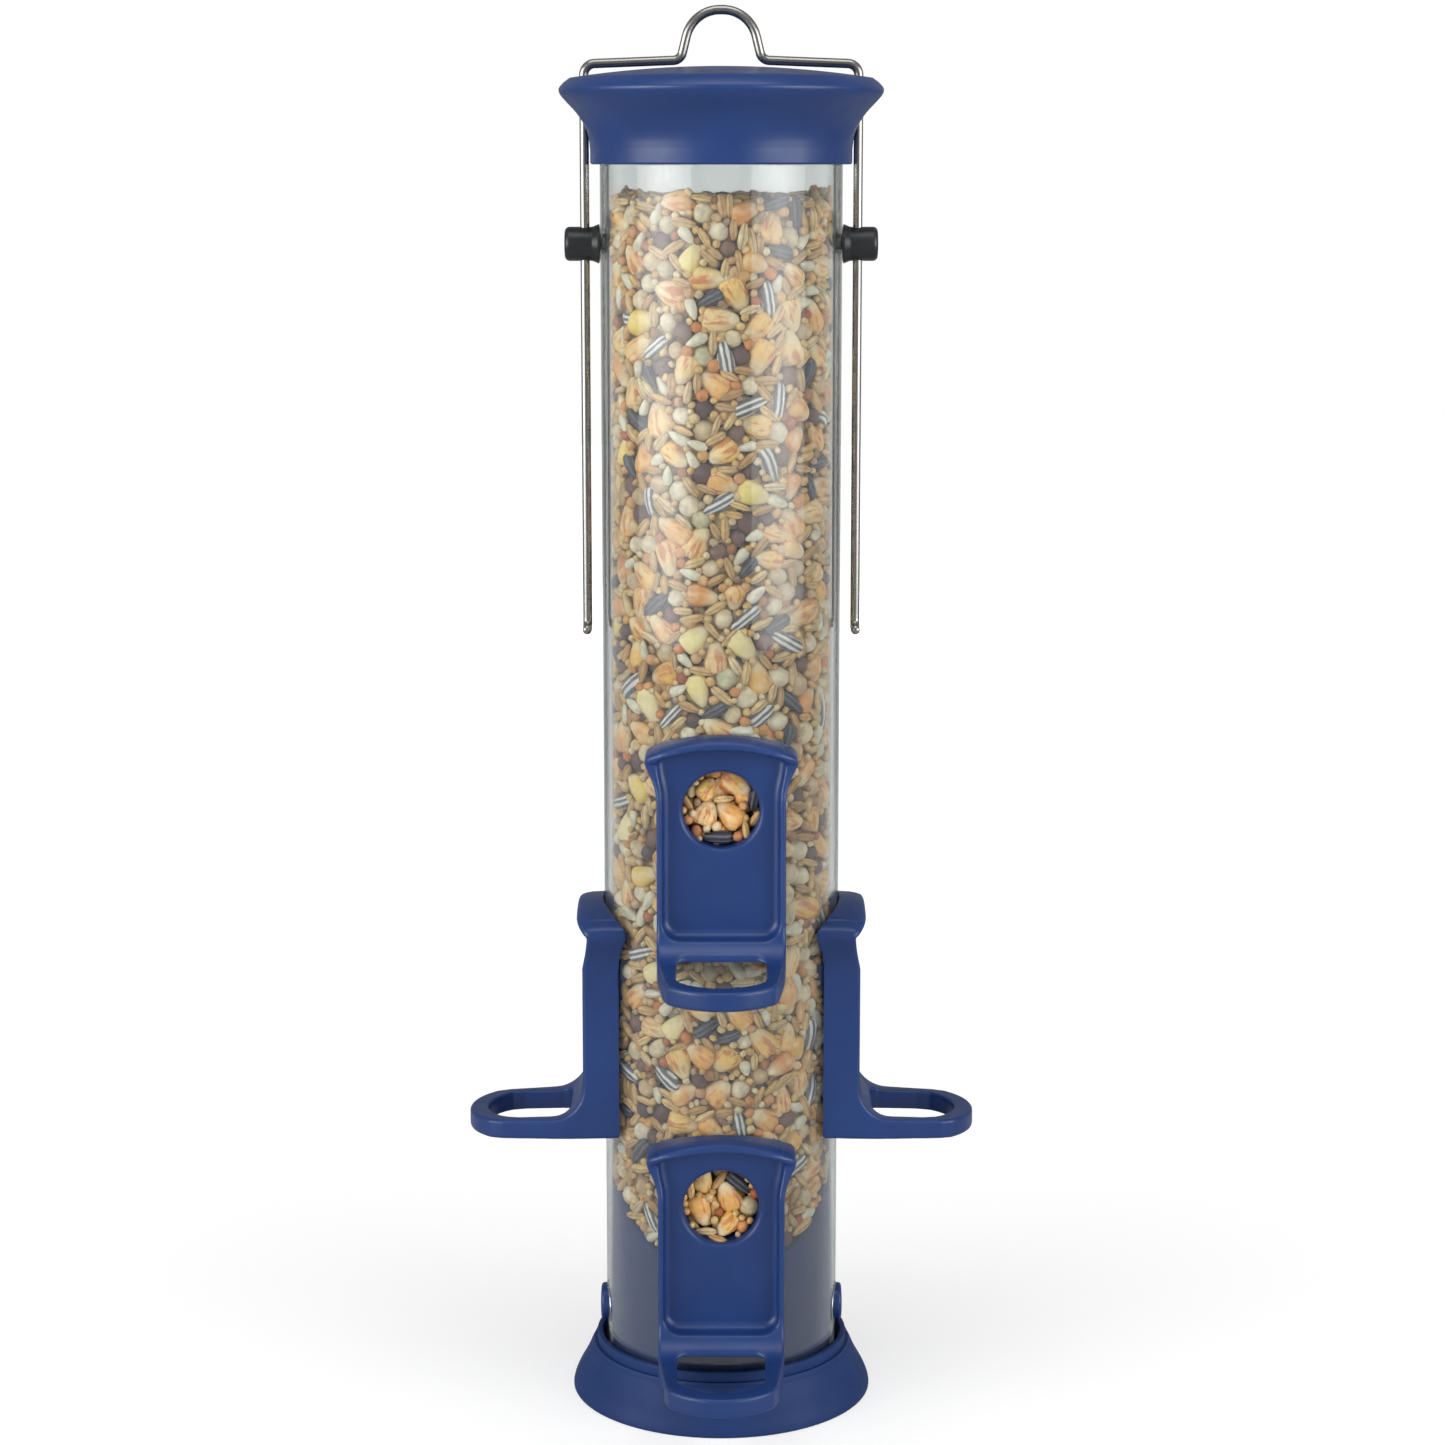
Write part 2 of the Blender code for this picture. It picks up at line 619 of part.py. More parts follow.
def baffle_mesh():
    """One baffle: a ring on the spigot behind the tube's wall, and a half-round hood over the hole."""
    bore_radius = SPIGOT_RADIUS + SEAT_GAP
    outer = bore_radius + BAFFLE_WALL
    inner_end = TUBE_INNER_RADIUS * BAFFLE_REACH_SHARE
    ring_end = TUBE_INNER_RADIUS * BAFFLE_RING_SHARE
    body = cylinder("baffle", outer, inner_end, TUBE_OUTER_RADIUS, axis="-Y")
    inside = cylinder("inside", PLUG_RADIUS, -2 * outer, 2 * outer, steps=TURN_STEPS)
    bore = cylinder("bore", bore_radius, inner_end - CUT_OVERRUN, TUBE_OUTER_RADIUS + CUT_OVERRUN, axis="-Y")
    below = box("below", (-2 * outer, -ring_end, -2 * outer), (2 * outer, 0, 0))
    carve(body, inside, "INTERSECT")
    carve(body, bore)
    carve(body, below)
    return bake(body, [inside, bore, below])


def guide_mesh():
    """One wire guide, on the +X side, with its origin on the tube's axis."""
    end = WIRE_OFFSET + WIRE_HOLE_RADIUS + GUIDE_END_WALL
    foot = TUBE_OUTER_RADIUS - GUIDE_FOOT_INSET
    outline = [(0, end), (GUIDE_RADIUS - GUIDE_END_EDGE, end)]
    corner = (GUIDE_RADIUS - GUIDE_END_EDGE, end - GUIDE_END_EDGE)
    outline += arc(corner, GUIDE_END_EDGE, 60, 0, 2)
    outline += [(GUIDE_RADIUS, foot + GUIDE_FOOT_LENGTH), (GUIDE_FOOT_RADIUS, foot), (0, foot)]
    barrel = bake(turned("barrel", outline, HOLE_STEPS, closed=False), [])
    barrel.transform(Matrix.Rotation(math.radians(90), 4, "Y"))
    piece = bpy.data.objects.new("guide", barrel)
    saddle = cylinder(
        "saddle", TUBE_OUTER_RADIUS + SEAT_GAP, -2 * GUIDE_FOOT_RADIUS, 2 * GUIDE_FOOT_RADIUS,
        steps=TURN_STEPS)
    stem_end = PLUG_RADIUS - RETAINER_DEPTH - STEM_TAIL
    stem_root = TUBE_OUTER_RADIUS + JOIN_OVERLAP
    stem = cylinder("stem", GUIDE_STEM_RADIUS, stem_end, stem_root, axis="X", steps=SMALL_STEPS)
    bore = cylinder("bore", WIRE_HOLE_RADIUS, -2 * GUIDE_RADIUS, 2 * GUIDE_RADIUS, steps=SMALL_STEPS)
    bore.location = (WIRE_OFFSET, 0, 0)
    carve(piece, saddle)
    carve(piece, stem, "UNION")
    carve(piece, bore)
    return bake(piece, [saddle, stem, bore])


def retainer_mesh():
    """One push-on retainer, on the +X side, shaped to the tube's inner wall."""
    inner = PLUG_RADIUS - RETAINER_DEPTH
    body = cylinder("retainer", RETAINER_RADIUS, inner, TUBE_OUTER_RADIUS, axis="X", steps=SMALL_STEPS)
    inside = cylinder("inside", PLUG_RADIUS, -2 * RETAINER_RADIUS, 2 * RETAINER_RADIUS, steps=TURN_STEPS)
    bore = cylinder(
        "bore", GUIDE_STEM_RADIUS + SEAT_GAP, inner - CUT_OVERRUN, TUBE_OUTER_RADIUS + CUT_OVERRUN,
        axis="X", steps=SMALL_STEPS)
    carve(body, inside, "INTERSECT")
    carve(body, bore)
    return bake(body, [inside, bore])


def latch_arm_mesh():
    """One latch arm on the +X side, with its origin on the axis that it bends about."""
    half = LATCH_ARM_WIDTH / 2
    thick = LATCH_ARM_THICKNESS / 2
    top = LATCH_ARM_LENGTH
    rise = LATCH_BUTTON_HEIGHT - LATCH_AXIS_HEIGHT
    face = TUBE_OUTER_RADIUS + LATCH_BUTTON_PROUD - LATCH_AXIS_OFFSET
    body = box("latch_arm", (-thick, -half, 0), (thick, half, top))
    root = cylinder("root", LATCH_ROOT_RADIUS, -half, half, axis="-Y", steps=SMALL_STEPS)
    button = cylinder("button", LATCH_BUTTON_RADIUS, 0, face, axis="X")
    shape = bmesh.new()
    shape.from_mesh(button.data)
    rim = [edge for edge in shape.edges if min(vert.co.x for vert in edge.verts) > face / 2]
    bmesh.ops.bevel(shape, geom=rim, offset=LATCH_BUTTON_EDGE, segments=2, profile=0.5, affect="EDGES")
    shape.to_mesh(button.data)
    shape.free()
    button.location = (0, 0, rise)
    carve(body, root, "UNION")
    carve(body, button, "UNION")
    return bake(body, [root, button])


def cap_outline():
    """The cap's section, with heights from its seat on the tube's rim."""
    rim = CAP_SKIRT_OUTER + CAP_RIM_SPREAD
    skirt_low = -CAP_SKIRT_DEPTH
    edge = CAP_ROOF_RISE
    flare_low = edge - CAP_FLARE_HEIGHT
    roof_radius = CAP_SKIRT_OUTER + (rim - CAP_SKIRT_OUTER) * CAP_RIM_SHARES[0][0]
    outline = [(0, edge + CAP_ROOF_CROWN)]
    for index in range(1, ROOF_STEPS):
        share = index / ROOF_STEPS
        outline.append((roof_radius * share, edge + CAP_ROOF_CROWN * (1 - share ** 2)))
    for out, up in CAP_RIM_SHARES:
        outline.append((CAP_SKIRT_OUTER + CAP_RIM_SPREAD * out, flare_low + CAP_FLARE_HEIGHT * up))
    outline += [(CAP_SKIRT_OUTER, skirt_low), (CAP_SKIRT_INNER, skirt_low)]
    for out, up in CAP_HOLLOW_SHARES:
        outline.append((CAP_SKIRT_INNER + CAP_RIM_SPREAD * out, flare_low + CAP_FLARE_HEIGHT * up))
    ring_outer = TUBE_INNER_RADIUS - CAP_RING_CLEARANCE
    ring_inner = ring_outer - CAP_RING_WALL
    outline += [(CAP_SKIRT_OUTER, 0), (ring_outer, 0)]
    outline += [(ring_outer, -CAP_RING_DEPTH), (ring_inner, -CAP_RING_DEPTH)]
    share = ring_inner / roof_radius
    under = edge - CAP_WALL
    outline.append((ring_inner, under + CAP_ROOF_CROWN * (1 - share ** 2)))
    outline.append((ring_inner / 2, under + CAP_ROOF_CROWN * (1 - (share / 2) ** 2)))
    outline.append((0, under + CAP_ROOF_CROWN))
    return outline


def foot_outline():
    """The foot's section, from its inner bore round the outside and back."""
    collar_inner = TUBE_OUTER_RADIUS + FOOT_COLLAR_CLEARANCE
    collar_outer = collar_inner + FOOT_COLLAR_WALL
    step = collar_outer + FOOT_STEP_WIDTH
    step_height = FOOT_HEIGHT - FOOT_COLLAR_BAND
    rim = step + FOOT_FLARE
    edge = FOOT_EDGE
    boss_top = FLOOR_TOP + FOOT_BOSS_RISE
    bore = SCREW_SHANK_RADIUS + SEAT_GAP
    head_room = SCREW_HEAD_RADIUS + SCREW_HEAD_CLEARANCE
    groove_top = step_height * FOOT_FLARE_SHARES[1][1]
    outline = [(bore, boss_top), (FOOT_BOSS_RADIUS, boss_top)]
    outline.append((FOOT_BOSS_RADIUS + FOOT_BOSS_DRAFT, FLOOR_TOP))
    outline += [(collar_inner, FLOOR_TOP), (collar_inner, FOOT_HEIGHT), (collar_outer - edge, FOOT_HEIGHT)]
    outline += [(collar_outer, FOOT_HEIGHT - edge), (collar_outer, step_height + edge), (step, step_height)]
    for out, up in FOOT_FLARE_SHARES:
        outline.append((step + FOOT_FLARE * out, step_height * up))
    outline += [(rim, 0), (rim - FOOT_WALL, 0)]
    for out, up in reversed(FOOT_FLARE_SHARES[1:-1:2]):
        outline.append((step + FOOT_FLARE * out - FOOT_WALL, step_height * up - edge))
    outline += [(collar_outer, groove_top - edge), (collar_outer, FOOT_FLOOR_LIFT)]
    outline += [(head_room, FOOT_FLOOR_LIFT), (head_room, FOOT_FLOOR_LIFT + FOOT_BOSS_RISE)]
    outline.append((bore, FOOT_FLOOR_LIFT + FOOT_BOSS_RISE))
    return outline


def roof_points(radius, ridge, eave):
    """The deflector's house-shaped outline above a base height of zero, as (across, height)."""
    right = [(radius * across, eave + (ridge - eave) * up) for across, up in ROOF_SHARES]
    left = [(-across, height) for across, height in reversed(right)]
    return right + left


def make_tube(group, cutters, material):
    """The clear tube, with a hole for each spigot, guide stem and latch button."""
    outline = [
        (TUBE_INNER_RADIUS, TUBE_TOP), (TUBE_OUTER_RADIUS, TUBE_TOP),
        (TUBE_OUTER_RADIUS, TUBE_BOTTOM), (TUBE_INNER_RADIUS, TUBE_BOTTOM),
    ]
    tube = place(turned("tube", outline), group, material)
    near = TUBE_INNER_RADIUS / 2
    far = TUBE_OUTER_RADIUS + CUT_OVERRUN
    for row, side, turn in PORT_PLACES:
        cutter = cylinder(f"{row}_{side}_port_hole", PORT_HOLE_RADIUS, near, far, axis="-Y")
        cutter.location = (0, 0, PORT_TOPS[row] - HOLE_DROP)
        cutter.rotation_euler = (0, 0, math.radians(turn))
        carve(tube, hide_cutter(cutter, cutters))
    side_holes = (
        ("guide_stem", GUIDE_STEM_RADIUS + SEAT_GAP, GUIDE_HEIGHT),
        ("latch", LATCH_HOLE_RADIUS, LATCH_BUTTON_HEIGHT),
    )
    for name, radius, height in side_holes:
        cutter = cylinder(f"{name}_holes", radius, -far, far, axis="X", steps=SMALL_STEPS)
        cutter.location = (0, 0, height)
        carve(tube, hide_cutter(cutter, cutters))
    return tube


def make_cap(group, cutters, material, pivot):
    """The cap, with two holes that it slides up the wire on."""
    cap = place(turned("cap", cap_outline(), closed=False), group, material, pivot)
    for side in (-1, 1):
        low = -CAP_SKIRT_DEPTH - CUT_OVERRUN
        high = CAP_ROOF_RISE + CAP_ROOF_CROWN + CUT_OVERRUN
        cutter = cylinder(f"wire_hole_{side + 1}", WIRE_HOLE_RADIUS, low, high, steps=SMALL_STEPS)
        cutter.parent = pivot
        cutter.location = (side * WIRE_OFFSET, 0, 0)
        carve(cap, hide_cutter(cutter, cutters))
    return cap


def bail_corners():
    """The corners of the wire's path, with each bend's radius, from the cap's seat up and down."""
    foot = GUIDE_HEIGHT - GUIDE_RADIUS - BAIL_TRAVEL - WIRE_RADIUS - SEAT_GAP - CAP_SEAT
    roof = CAP_ROOF_RISE + CAP_ROOF_CROWN
    neck = roof + WIRE_GAP + WIRE_RADIUS
    shoulder = neck - BAIL_SHOULDER_RISE
    loop = neck + BAIL_LOOP_HEIGHT
    loop_bend = BAIL_LOOP_HALF_WIDTH * BAIL_LOOP_BEND_SHARE
    right = [
        ((WIRE_OFFSET, -BAIL_FOOT_LENGTH, foot), 0),
        ((WIRE_OFFSET, 0, foot), BAIL_FOOT_BEND),
        ((WIRE_OFFSET, 0, shoulder), BAIL_SHOULDER_BEND),
        ((BAIL_NECK_HALF_WIDTH, 0, neck), BAIL_NECK_BEND),
        ((BAIL_LOOP_HALF_WIDTH, 0, loop), loop_bend),
    ]
    left = [((-point[0], point[1], point[2]), bend) for point, bend in reversed(right)]
    return right + left


def make_bail(group, material, pivot):
    path = rounded_path(bail_corners(), BEND_STEPS)
    mesh = wire_mesh("hanger_bail", path, WIRE_RADIUS)
    return place(bpy.data.objects.new("hanger_bail", mesh), group, material, pivot)


def make_foot(group, cutters, material, pivot):
    """The foot, with drain holes in its floor and pockets for the latch arms' roots."""
    foot = place(turned("base_foot", foot_outline()), group, material, pivot)
    circle = TUBE_INNER_RADIUS * DRAIN_CIRCLE_SHARE
    for index in range(DRAIN_HOLE_COUNT):
        angle = 2 * math.pi * (index + 0.5) / DRAIN_HOLE_COUNT
        low = FOOT_FLOOR_LIFT - CUT_OVERRUN
        high = FLOOR_TOP + CUT_OVERRUN
        cutter = cylinder(f"drain_hole_{index}", DRAIN_HOLE_RADIUS, low, high, steps=SMALL_STEPS)
        cutter.parent = pivot
        cutter.location = (circle * math.cos(angle), circle * math.sin(angle), 0)
        carve(foot, hide_cutter(cutter, cutters))
    room = LATCH_ROOT_RADIUS + SEAT_GAP
    half = LATCH_ARM_WIDTH / 2 + SEAT_GAP
    low = FLOOR_TOP - FOOT_FLOOR_THICKNESS / 2
    top = FLOOR_TOP + LATCH_POCKET_HEIGHT
    for side in (-1, 1):
        inner = LATCH_AXIS_OFFSET - room
        rib_end = LATCH_AXIS_OFFSET + LATCH_ROOT_RADIUS / 2
        corners = sorted((side * (inner - LATCH_POCKET_WALL), side * rib_end))
        rib = box(
            f"pocket_{side + 1}", (corners[0], -half - LATCH_POCKET_WALL, low),
            (corners[1], half + LATCH_POCKET_WALL, top))
        inside = sorted((side * inner, side * (rib_end + CUT_OVERRUN)))
        room_box = box(
            f"pocket_room_{side + 1}", (inside[0], -half, low - CUT_OVERRUN),
            (inside[1], half, top + CUT_OVERRUN))
        for cutter in (rib, room_box):
            cutter.parent = pivot
            hide_cutter(cutter, cutters)
        carve(rib, room_box)
        carve(foot, rib, "UNION")
    return foot


def make_deflector(group, cutters, material, pivot):
    """The hollow plug: a cylinder under a two-way roof, with a screw post and two latch windows."""
    low = TUBE_BOTTOM
    inner = PLUG_INNER_RADIUS
    high = DEFLECTOR_RIDGE_HEIGHT + CUT_OVERRUN
    plug = cylinder("seed_deflector", PLUG_RADIUS, low, high, steps=TURN_STEPS)
    wide = PLUG_RADIUS + CUT_OVERRUN
    reach = wide * 2

    def house(name, drop, base):
        eave = DEFLECTOR_EAVE_HEIGHT - drop
        points = roof_points(PLUG_RADIUS, DEFLECTOR_RIDGE_HEIGHT - drop, eave)
        section = [(-wide, base), (wide, base), (wide, eave), *points, (-wide, eave)]
        return prism(name, [(-wide, across, height) for across, height in section], (reach, 0, 0))

    outside = house("deflector_outside", 0, low - CUT_OVERRUN)
    hollow = cylinder("deflector_hollow", inner, low - CUT_OVERRUN, high, steps=TURN_STEPS)
    ceiling = house("deflector_ceiling", DEFLECTOR_WALL, low - 2 * CUT_OVERRUN)
    post_low = FLOOR_TOP + FOOT_BOSS_RISE + SEAT_GAP
    post = cylinder("deflector_post", DEFLECTOR_POST_RADIUS, post_low, high, steps=SMALL_STEPS)
    post_top = house("deflector_post_top", DEFLECTOR_WALL / 2, low - CUT_OVERRUN)
    pilot_high = FOOT_FLOOR_LIFT + FOOT_BOSS_RISE + SCREW_LENGTH + SEAT_GAP
    pilot = cylinder(
        "deflector_pilot", SCREW_SHANK_RADIUS + SEAT_GAP, post_low - CUT_OVERRUN, pilot_high,
        steps=SMALL_STEPS)
    window_half = LATCH_HOLE_RADIUS
    window = box(
        "latch_windows", (-wide, -window_half, LATCH_BUTTON_HEIGHT - window_half - SEAT_GAP),
        (wide, window_half, LATCH_BUTTON_HEIGHT + window_half + SEAT_GAP))
    keep = box("window_keep", (-inner / 2, -wide, low - CUT_OVERRUN), (inner / 2, wide, high))
    for cutter in (outside, hollow, ceiling, post, post_top, pilot, window, keep):
        cutter.parent = pivot
        hide_cutter(cutter, cutters)
    place(plug, group, material, pivot)
    carve(hollow, ceiling, "INTERSECT")
    carve(post, post_top, "INTERSECT")
    carve(window, keep)
    carve(plug, outside, "INTERSECT")
    carve(plug, hollow)
    carve(plug, window)
    carve(plug, post, "UNION")
    carve(plug, pilot)
    return plug


def make_screw(group, material, pivot):
    """A pan-head screw with a round drive recess, head down in the foot's underside."""
    under = FOOT_FLOOR_LIFT + FOOT_BOSS_RISE - SEAT_GAP
    tip = under + SCREW_LENGTH
    low = under - SCREW_HEAD_HEIGHT
    outline = [
        (0, tip), (SCREW_SHANK_RADIUS / 2, tip), (SCREW_SHANK_RADIUS, tip - SCREW_SHANK_RADIUS),
        (SCREW_SHANK_RADIUS, under), (SCREW_HEAD_RADIUS, under),
        (SCREW_HEAD_RADIUS, low + SCREW_HEAD_HEIGHT / 2),
        (SCREW_HEAD_RADIUS - SCREW_HEAD_EDGE, low), (SCREW_DRIVE_RADIUS, low),
        (SCREW_DRIVE_RADIUS, low + SCREW_DRIVE_DEPTH), (0, low + SCREW_DRIVE_DEPTH),
    ]
    return place(turned("base_screw", outline, SMALL_STEPS, closed=False), group, material, pivot)


def main():
    clear_scene()
    parts = new_collection("tube_bird_feeder")
    cutters = new_collection("cutters")
    blue = new_material("blue_plastic", (0.022, 0.055, 0.185), 0.38)
    black = new_material("black_plastic", (0.010, 0.012, 0.016), 0.35)
    clear = new_material("clear_plastic", (0.80, 0.84, 0.86), 0.08, alpha=0.25)
    steel = new_material("steel_wire", (0.62, 0.60, 0.55), 0.28, metallic=1.0)
    zinc = new_material("screw_steel", (0.55, 0.56, 0.58), 0.35, metallic=1.0)

    make_tube(parts, cutters, clear)

    port = port_mesh()
    baffle = baffle_mesh()
    for row, side, turn in PORT_PLACES:
        spot = (0, 0, PORT_TOPS[row] - HOLE_DROP)
        copy_of(port, f"port_{row}_{side}", parts, blue, spot, turn)
        copy_of(baffle, f"baffle_{row}_{side}", parts, blue, spot, turn)

    guide = guide_mesh()
    retainer = retainer_mesh()
    for side, turn in (("right", 0), ("left", 180)):
        spot = (0, 0, GUIDE_HEIGHT)
        copy_of(guide, f"wire_guide_{side}", parts, black, spot, turn)
        copy_of(retainer, f"guide_retainer_{side}", parts, steel, spot, turn)

    cap_slide = empty_at("cap_slide", parts, (0, 0, CAP_SEAT))
    make_cap(parts, cutters, blue, cap_slide)
    bail_slide = empty_at("bail_slide", parts, (0, 0, 0), cap_slide)
    make_bail(parts, steel, bail_slide)

    base_slide = empty_at("base_slide", parts, (0, 0, 0))
    make_foot(parts, cutters, blue, base_slide)
    make_deflector(parts, cutters, blue, base_slide)
    make_screw(parts, zinc, base_slide)
    arm = latch_arm_mesh()
    for side, sign, turn in (("right", 1, 0), ("left", -1, 180)):
        spot = (sign * LATCH_AXIS_OFFSET, 0, LATCH_AXIS_HEIGHT)
        copy_of(arm, f"latch_arm_{side}", parts, blue, spot, turn, base_slide)


main()
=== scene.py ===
# %% [markdown]
# # A tube bird feeder, piece by piece
# The feeder is a clear tube full of mixed seed. It hangs from a wire bail, under a blue cap, and birds
# reach the seed through six blue ports with perches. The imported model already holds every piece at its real
# size and place, so this lesson only dresses it: smoother shapes, real finishes, and the seed that the
# model leaves out. The tube stands on the Z axis, the foot's underside is at z = 0, and the front port
# faces -Y.

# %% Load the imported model
import functools
import math

import bmesh
import bpy
import numpy as np
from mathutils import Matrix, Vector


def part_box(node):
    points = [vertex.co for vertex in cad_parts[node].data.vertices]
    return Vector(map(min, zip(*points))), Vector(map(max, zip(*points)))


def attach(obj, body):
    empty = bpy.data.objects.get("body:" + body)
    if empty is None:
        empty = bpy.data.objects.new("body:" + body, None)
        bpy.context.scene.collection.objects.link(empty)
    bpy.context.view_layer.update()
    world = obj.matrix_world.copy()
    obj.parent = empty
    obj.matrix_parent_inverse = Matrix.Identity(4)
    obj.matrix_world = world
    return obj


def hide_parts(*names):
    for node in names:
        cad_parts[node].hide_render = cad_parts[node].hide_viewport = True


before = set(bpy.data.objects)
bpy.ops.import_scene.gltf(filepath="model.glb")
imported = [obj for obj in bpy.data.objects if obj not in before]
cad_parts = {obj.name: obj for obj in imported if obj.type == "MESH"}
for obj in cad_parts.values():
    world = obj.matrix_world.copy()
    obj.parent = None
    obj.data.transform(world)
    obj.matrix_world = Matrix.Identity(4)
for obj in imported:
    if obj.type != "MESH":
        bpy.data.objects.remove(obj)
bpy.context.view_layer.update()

# %% [markdown]
# ## Units and the camera
# The shapes below are worked out in millimetres, because that is how such parts are drawn, and are written
# into the meshes in metres. The camera stands nearly a metre away, a little below the cap, and looks down
# by ten degrees, which shows the ports' sills and the round of the foot but none of the cap's top.

# %% Camera
METRES = 0.001
CAMERA_PLACE = (0.00033, -0.854, 0.344)
CAMERA_DOWN = math.radians(10.13)
CAMERA_LENS = 78.35


def new_object(name, data):
    """A new object that is linked to the scene."""
    item = bpy.data.objects.new(name, data)
    bpy.context.scene.collection.objects.link(item)
    return item


camera = new_object("camera", bpy.data.cameras.new("camera"))
camera.location = CAMERA_PLACE
camera.rotation_euler = (math.pi / 2 - CAMERA_DOWN, 0, 0)
camera.data.lens = CAMERA_LENS
bpy.context.scene.camera = camera
print("camera", CAMERA_LENS, "mm lens, at", CAMERA_PLACE)

# %% [markdown]
# ## From arrays to meshes
# Every new surface here is an array of points and arrays of faces. Blender can take such arrays in one call
# each, which is far quicker than adding points one by one. A closed shell is then welded where its points
# meet, and its faces are turned outwards, because a lamp sees a wrongly turned face as a hole.

# %% Mesh helpers
WELD_DISTANCE = 1e-7
SHARP_ANGLE = math.radians(32)


def make_mesh(name, points, *face_arrays):
    """A mesh from an (n, 3) array in millimetres and arrays of faces, one for each number of corners."""
    mesh = bpy.data.meshes.new(name)
    mesh.vertices.add(len(points))
    mesh.vertices.foreach_set("co", (np.asarray(points) * METRES).astype(np.float32).ravel())
    corners = np.concatenate([faces.ravel() for faces in face_arrays]).astype(np.int32)
    sizes = np.concatenate([np.full(len(faces), faces.shape[1]) for faces in face_arrays])
    mesh.loops.add(len(corners))
    mesh.loops.foreach_set("vertex_index", corners)
    mesh.polygons.add(len(sizes))
    mesh.polygons.foreach_set("loop_start", (np.cumsum(sizes) - sizes).astype(np.int32))
    mesh.update(calc_edges=True)
    return mesh


def closed(mesh):
    """The same mesh with meeting points welded and its faces turned outwards."""
    shape = bmesh.new()
    shape.from_mesh(mesh)
    bmesh.ops.remove_doubles(shape, verts=shape.verts, dist=WELD_DISTANCE)
    bmesh.ops.dissolve_degenerate(shape, edges=shape.edges, dist=WELD_DISTANCE)
    bmesh.ops.recalc_face_normals(shape, faces=shape.faces)
    shape.to_mesh(mesh)
    shape.free()
    return mesh


def grid_faces(rows, columns, wrap_rows=False):
    """The quads of a grid whose points are stored row by row, and whose columns close on themselves."""
    row = np.arange(rows if wrap_rows else rows - 1)[:, None]
    column = np.arange(columns)[None, :]
    after = (column + 1) % columns
    below = (row + 1) % rows
    corners = [
        row * columns + column, row * columns + after, below * columns + after, below * columns + column]
    return np.stack(np.broadcast_arrays(*corners), axis=-1).reshape(-1, 4)


def show(mesh, body, material, replaces=(), smooth_to=SHARP_ANGLE):
    """Put a finished mesh into the scene as one piece that rides on a body."""
    mesh.shade_smooth()
    mesh.set_sharp_from_angle(angle=smooth_to)
    piece = new_object(mesh.name, mesh)
    mesh.materials.clear()
    mesh.materials.append(material)
    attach(piece, body)
    if replaces:
        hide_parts(*replaces)
    print(mesh.name, len(mesh.vertices), "points", len(mesh.polygons), "faces")


# %% [markdown]
# ## Smooth outlines
# Most moulded parts start from a drawn outline: straight stretches, rounded corners, and free curves
# through a few chosen points. The first helpers draw those. Another turns an outline about the axis, as a
# potter's wheel does, and the last one turns points to a side of the tube.

# %% Outline helpers
TURN_STEPS = 192
NEARLY_STRAIGHT = 0.01


def unit(vectors):
    """The same directions with length 1."""
    return vectors / np.linalg.norm(vectors, axis=-1, keepdims=True)


def corner_arc(before, here, after, radius, steps):
    """The arc that replaces a corner, or the corner itself where it has no radius or is nearly straight.

    The arc starts radius / tan(half the angle) away from the corner, and its centre lies on the bisector.
    Its points are its two ends blended by sines, which spaces them evenly.
    """
    back, on = unit(before - here), unit(after - here)
    half = math.acos(np.clip(back @ on, -1, 1)) / 2
    if radius == 0 or half > math.pi / 2 - NEARLY_STRAIGHT:
        return here[None]
    centre = here + unit(back + on) * radius / math.sin(half)
    first, last = (here + way * radius / math.tan(half) - centre for way in (back, on))
    spread = math.pi - 2 * half
    share = np.linspace(0, 1, steps + 1)[:, None]
    arc = first * np.sin((1 - share) * spread) + last * np.sin(share * spread)
    return centre + arc / math.sin(spread)


def rounded(corners, steps=5):
    """A closed outline of corners (x, y, radius), with each corner replaced by its arc."""
    corners = np.array(corners, float)
    places = corners[:, :2]
    ends = zip(np.roll(places, 1, axis=0), places, np.roll(places, -1, axis=0), corners[:, 2])
    return np.vstack([corner_arc(*end, steps) for end in ends])


def through(points, steps=6):
    """A smooth line through points: between two, the cubic whose slopes come from their neighbours."""
    points = np.asarray(points, float)
    line = np.vstack([2 * points[0] - points[1], points, 2 * points[-1] - points[-2]])
    a, b, c, d = line[:-3, None], line[1:-2, None], line[2:-1, None], line[3:, None]
    t = (np.arange(steps) / steps)[None, :, None]
    square, cube = 2 * a - 5 * b + 4 * c - d, 3 * b - a - 3 * c + d
    curve = (2 * b + (c - a) * t + square * t ** 2 + cube * t ** 3) / 2
    return np.vstack([curve.reshape(-1, points.shape[1]), points[-1]])


def arc_points(centre, radius, start, end, steps=12):
    """Points on an arc, between two angles in degrees."""
    angle = np.radians(np.linspace(start, end, steps + 1))
    return np.stack([centre[0] + radius * np.cos(angle), centre[1] + radius * np.sin(angle)], axis=1)


def turned(name, outline, steps=TURN_STEPS):
    """A closed solid of turning: (r cos a, r sin a, z) for each (r, z) of the outline and each angle a."""
    outline = np.asarray(outline)
    angle = 2 * math.pi * np.arange(steps) / steps
    radius, height = outline[:, :1], outline[:, 1:]
    points = np.stack([radius * np.cos(angle), radius * np.sin(angle), height + 0 * angle], axis=-1)
    return closed(make_mesh(name, points.reshape(-1, 3), grid_faces(len(outline), steps, wrap_rows=True)))


def facing(points, turn):
    """Points given as (across, outward, up), turned so that outward looks to the port's side of the tube."""
    angle = math.radians(turn)
    across, outward, up = np.moveaxis(np.asarray(points, float), -1, 0)
    x = across * math.cos(angle) + outward * math.sin(angle)
    y = across * math.sin(angle) - outward * math.cos(angle)
    return np.stack([x, y, up], axis=-1)


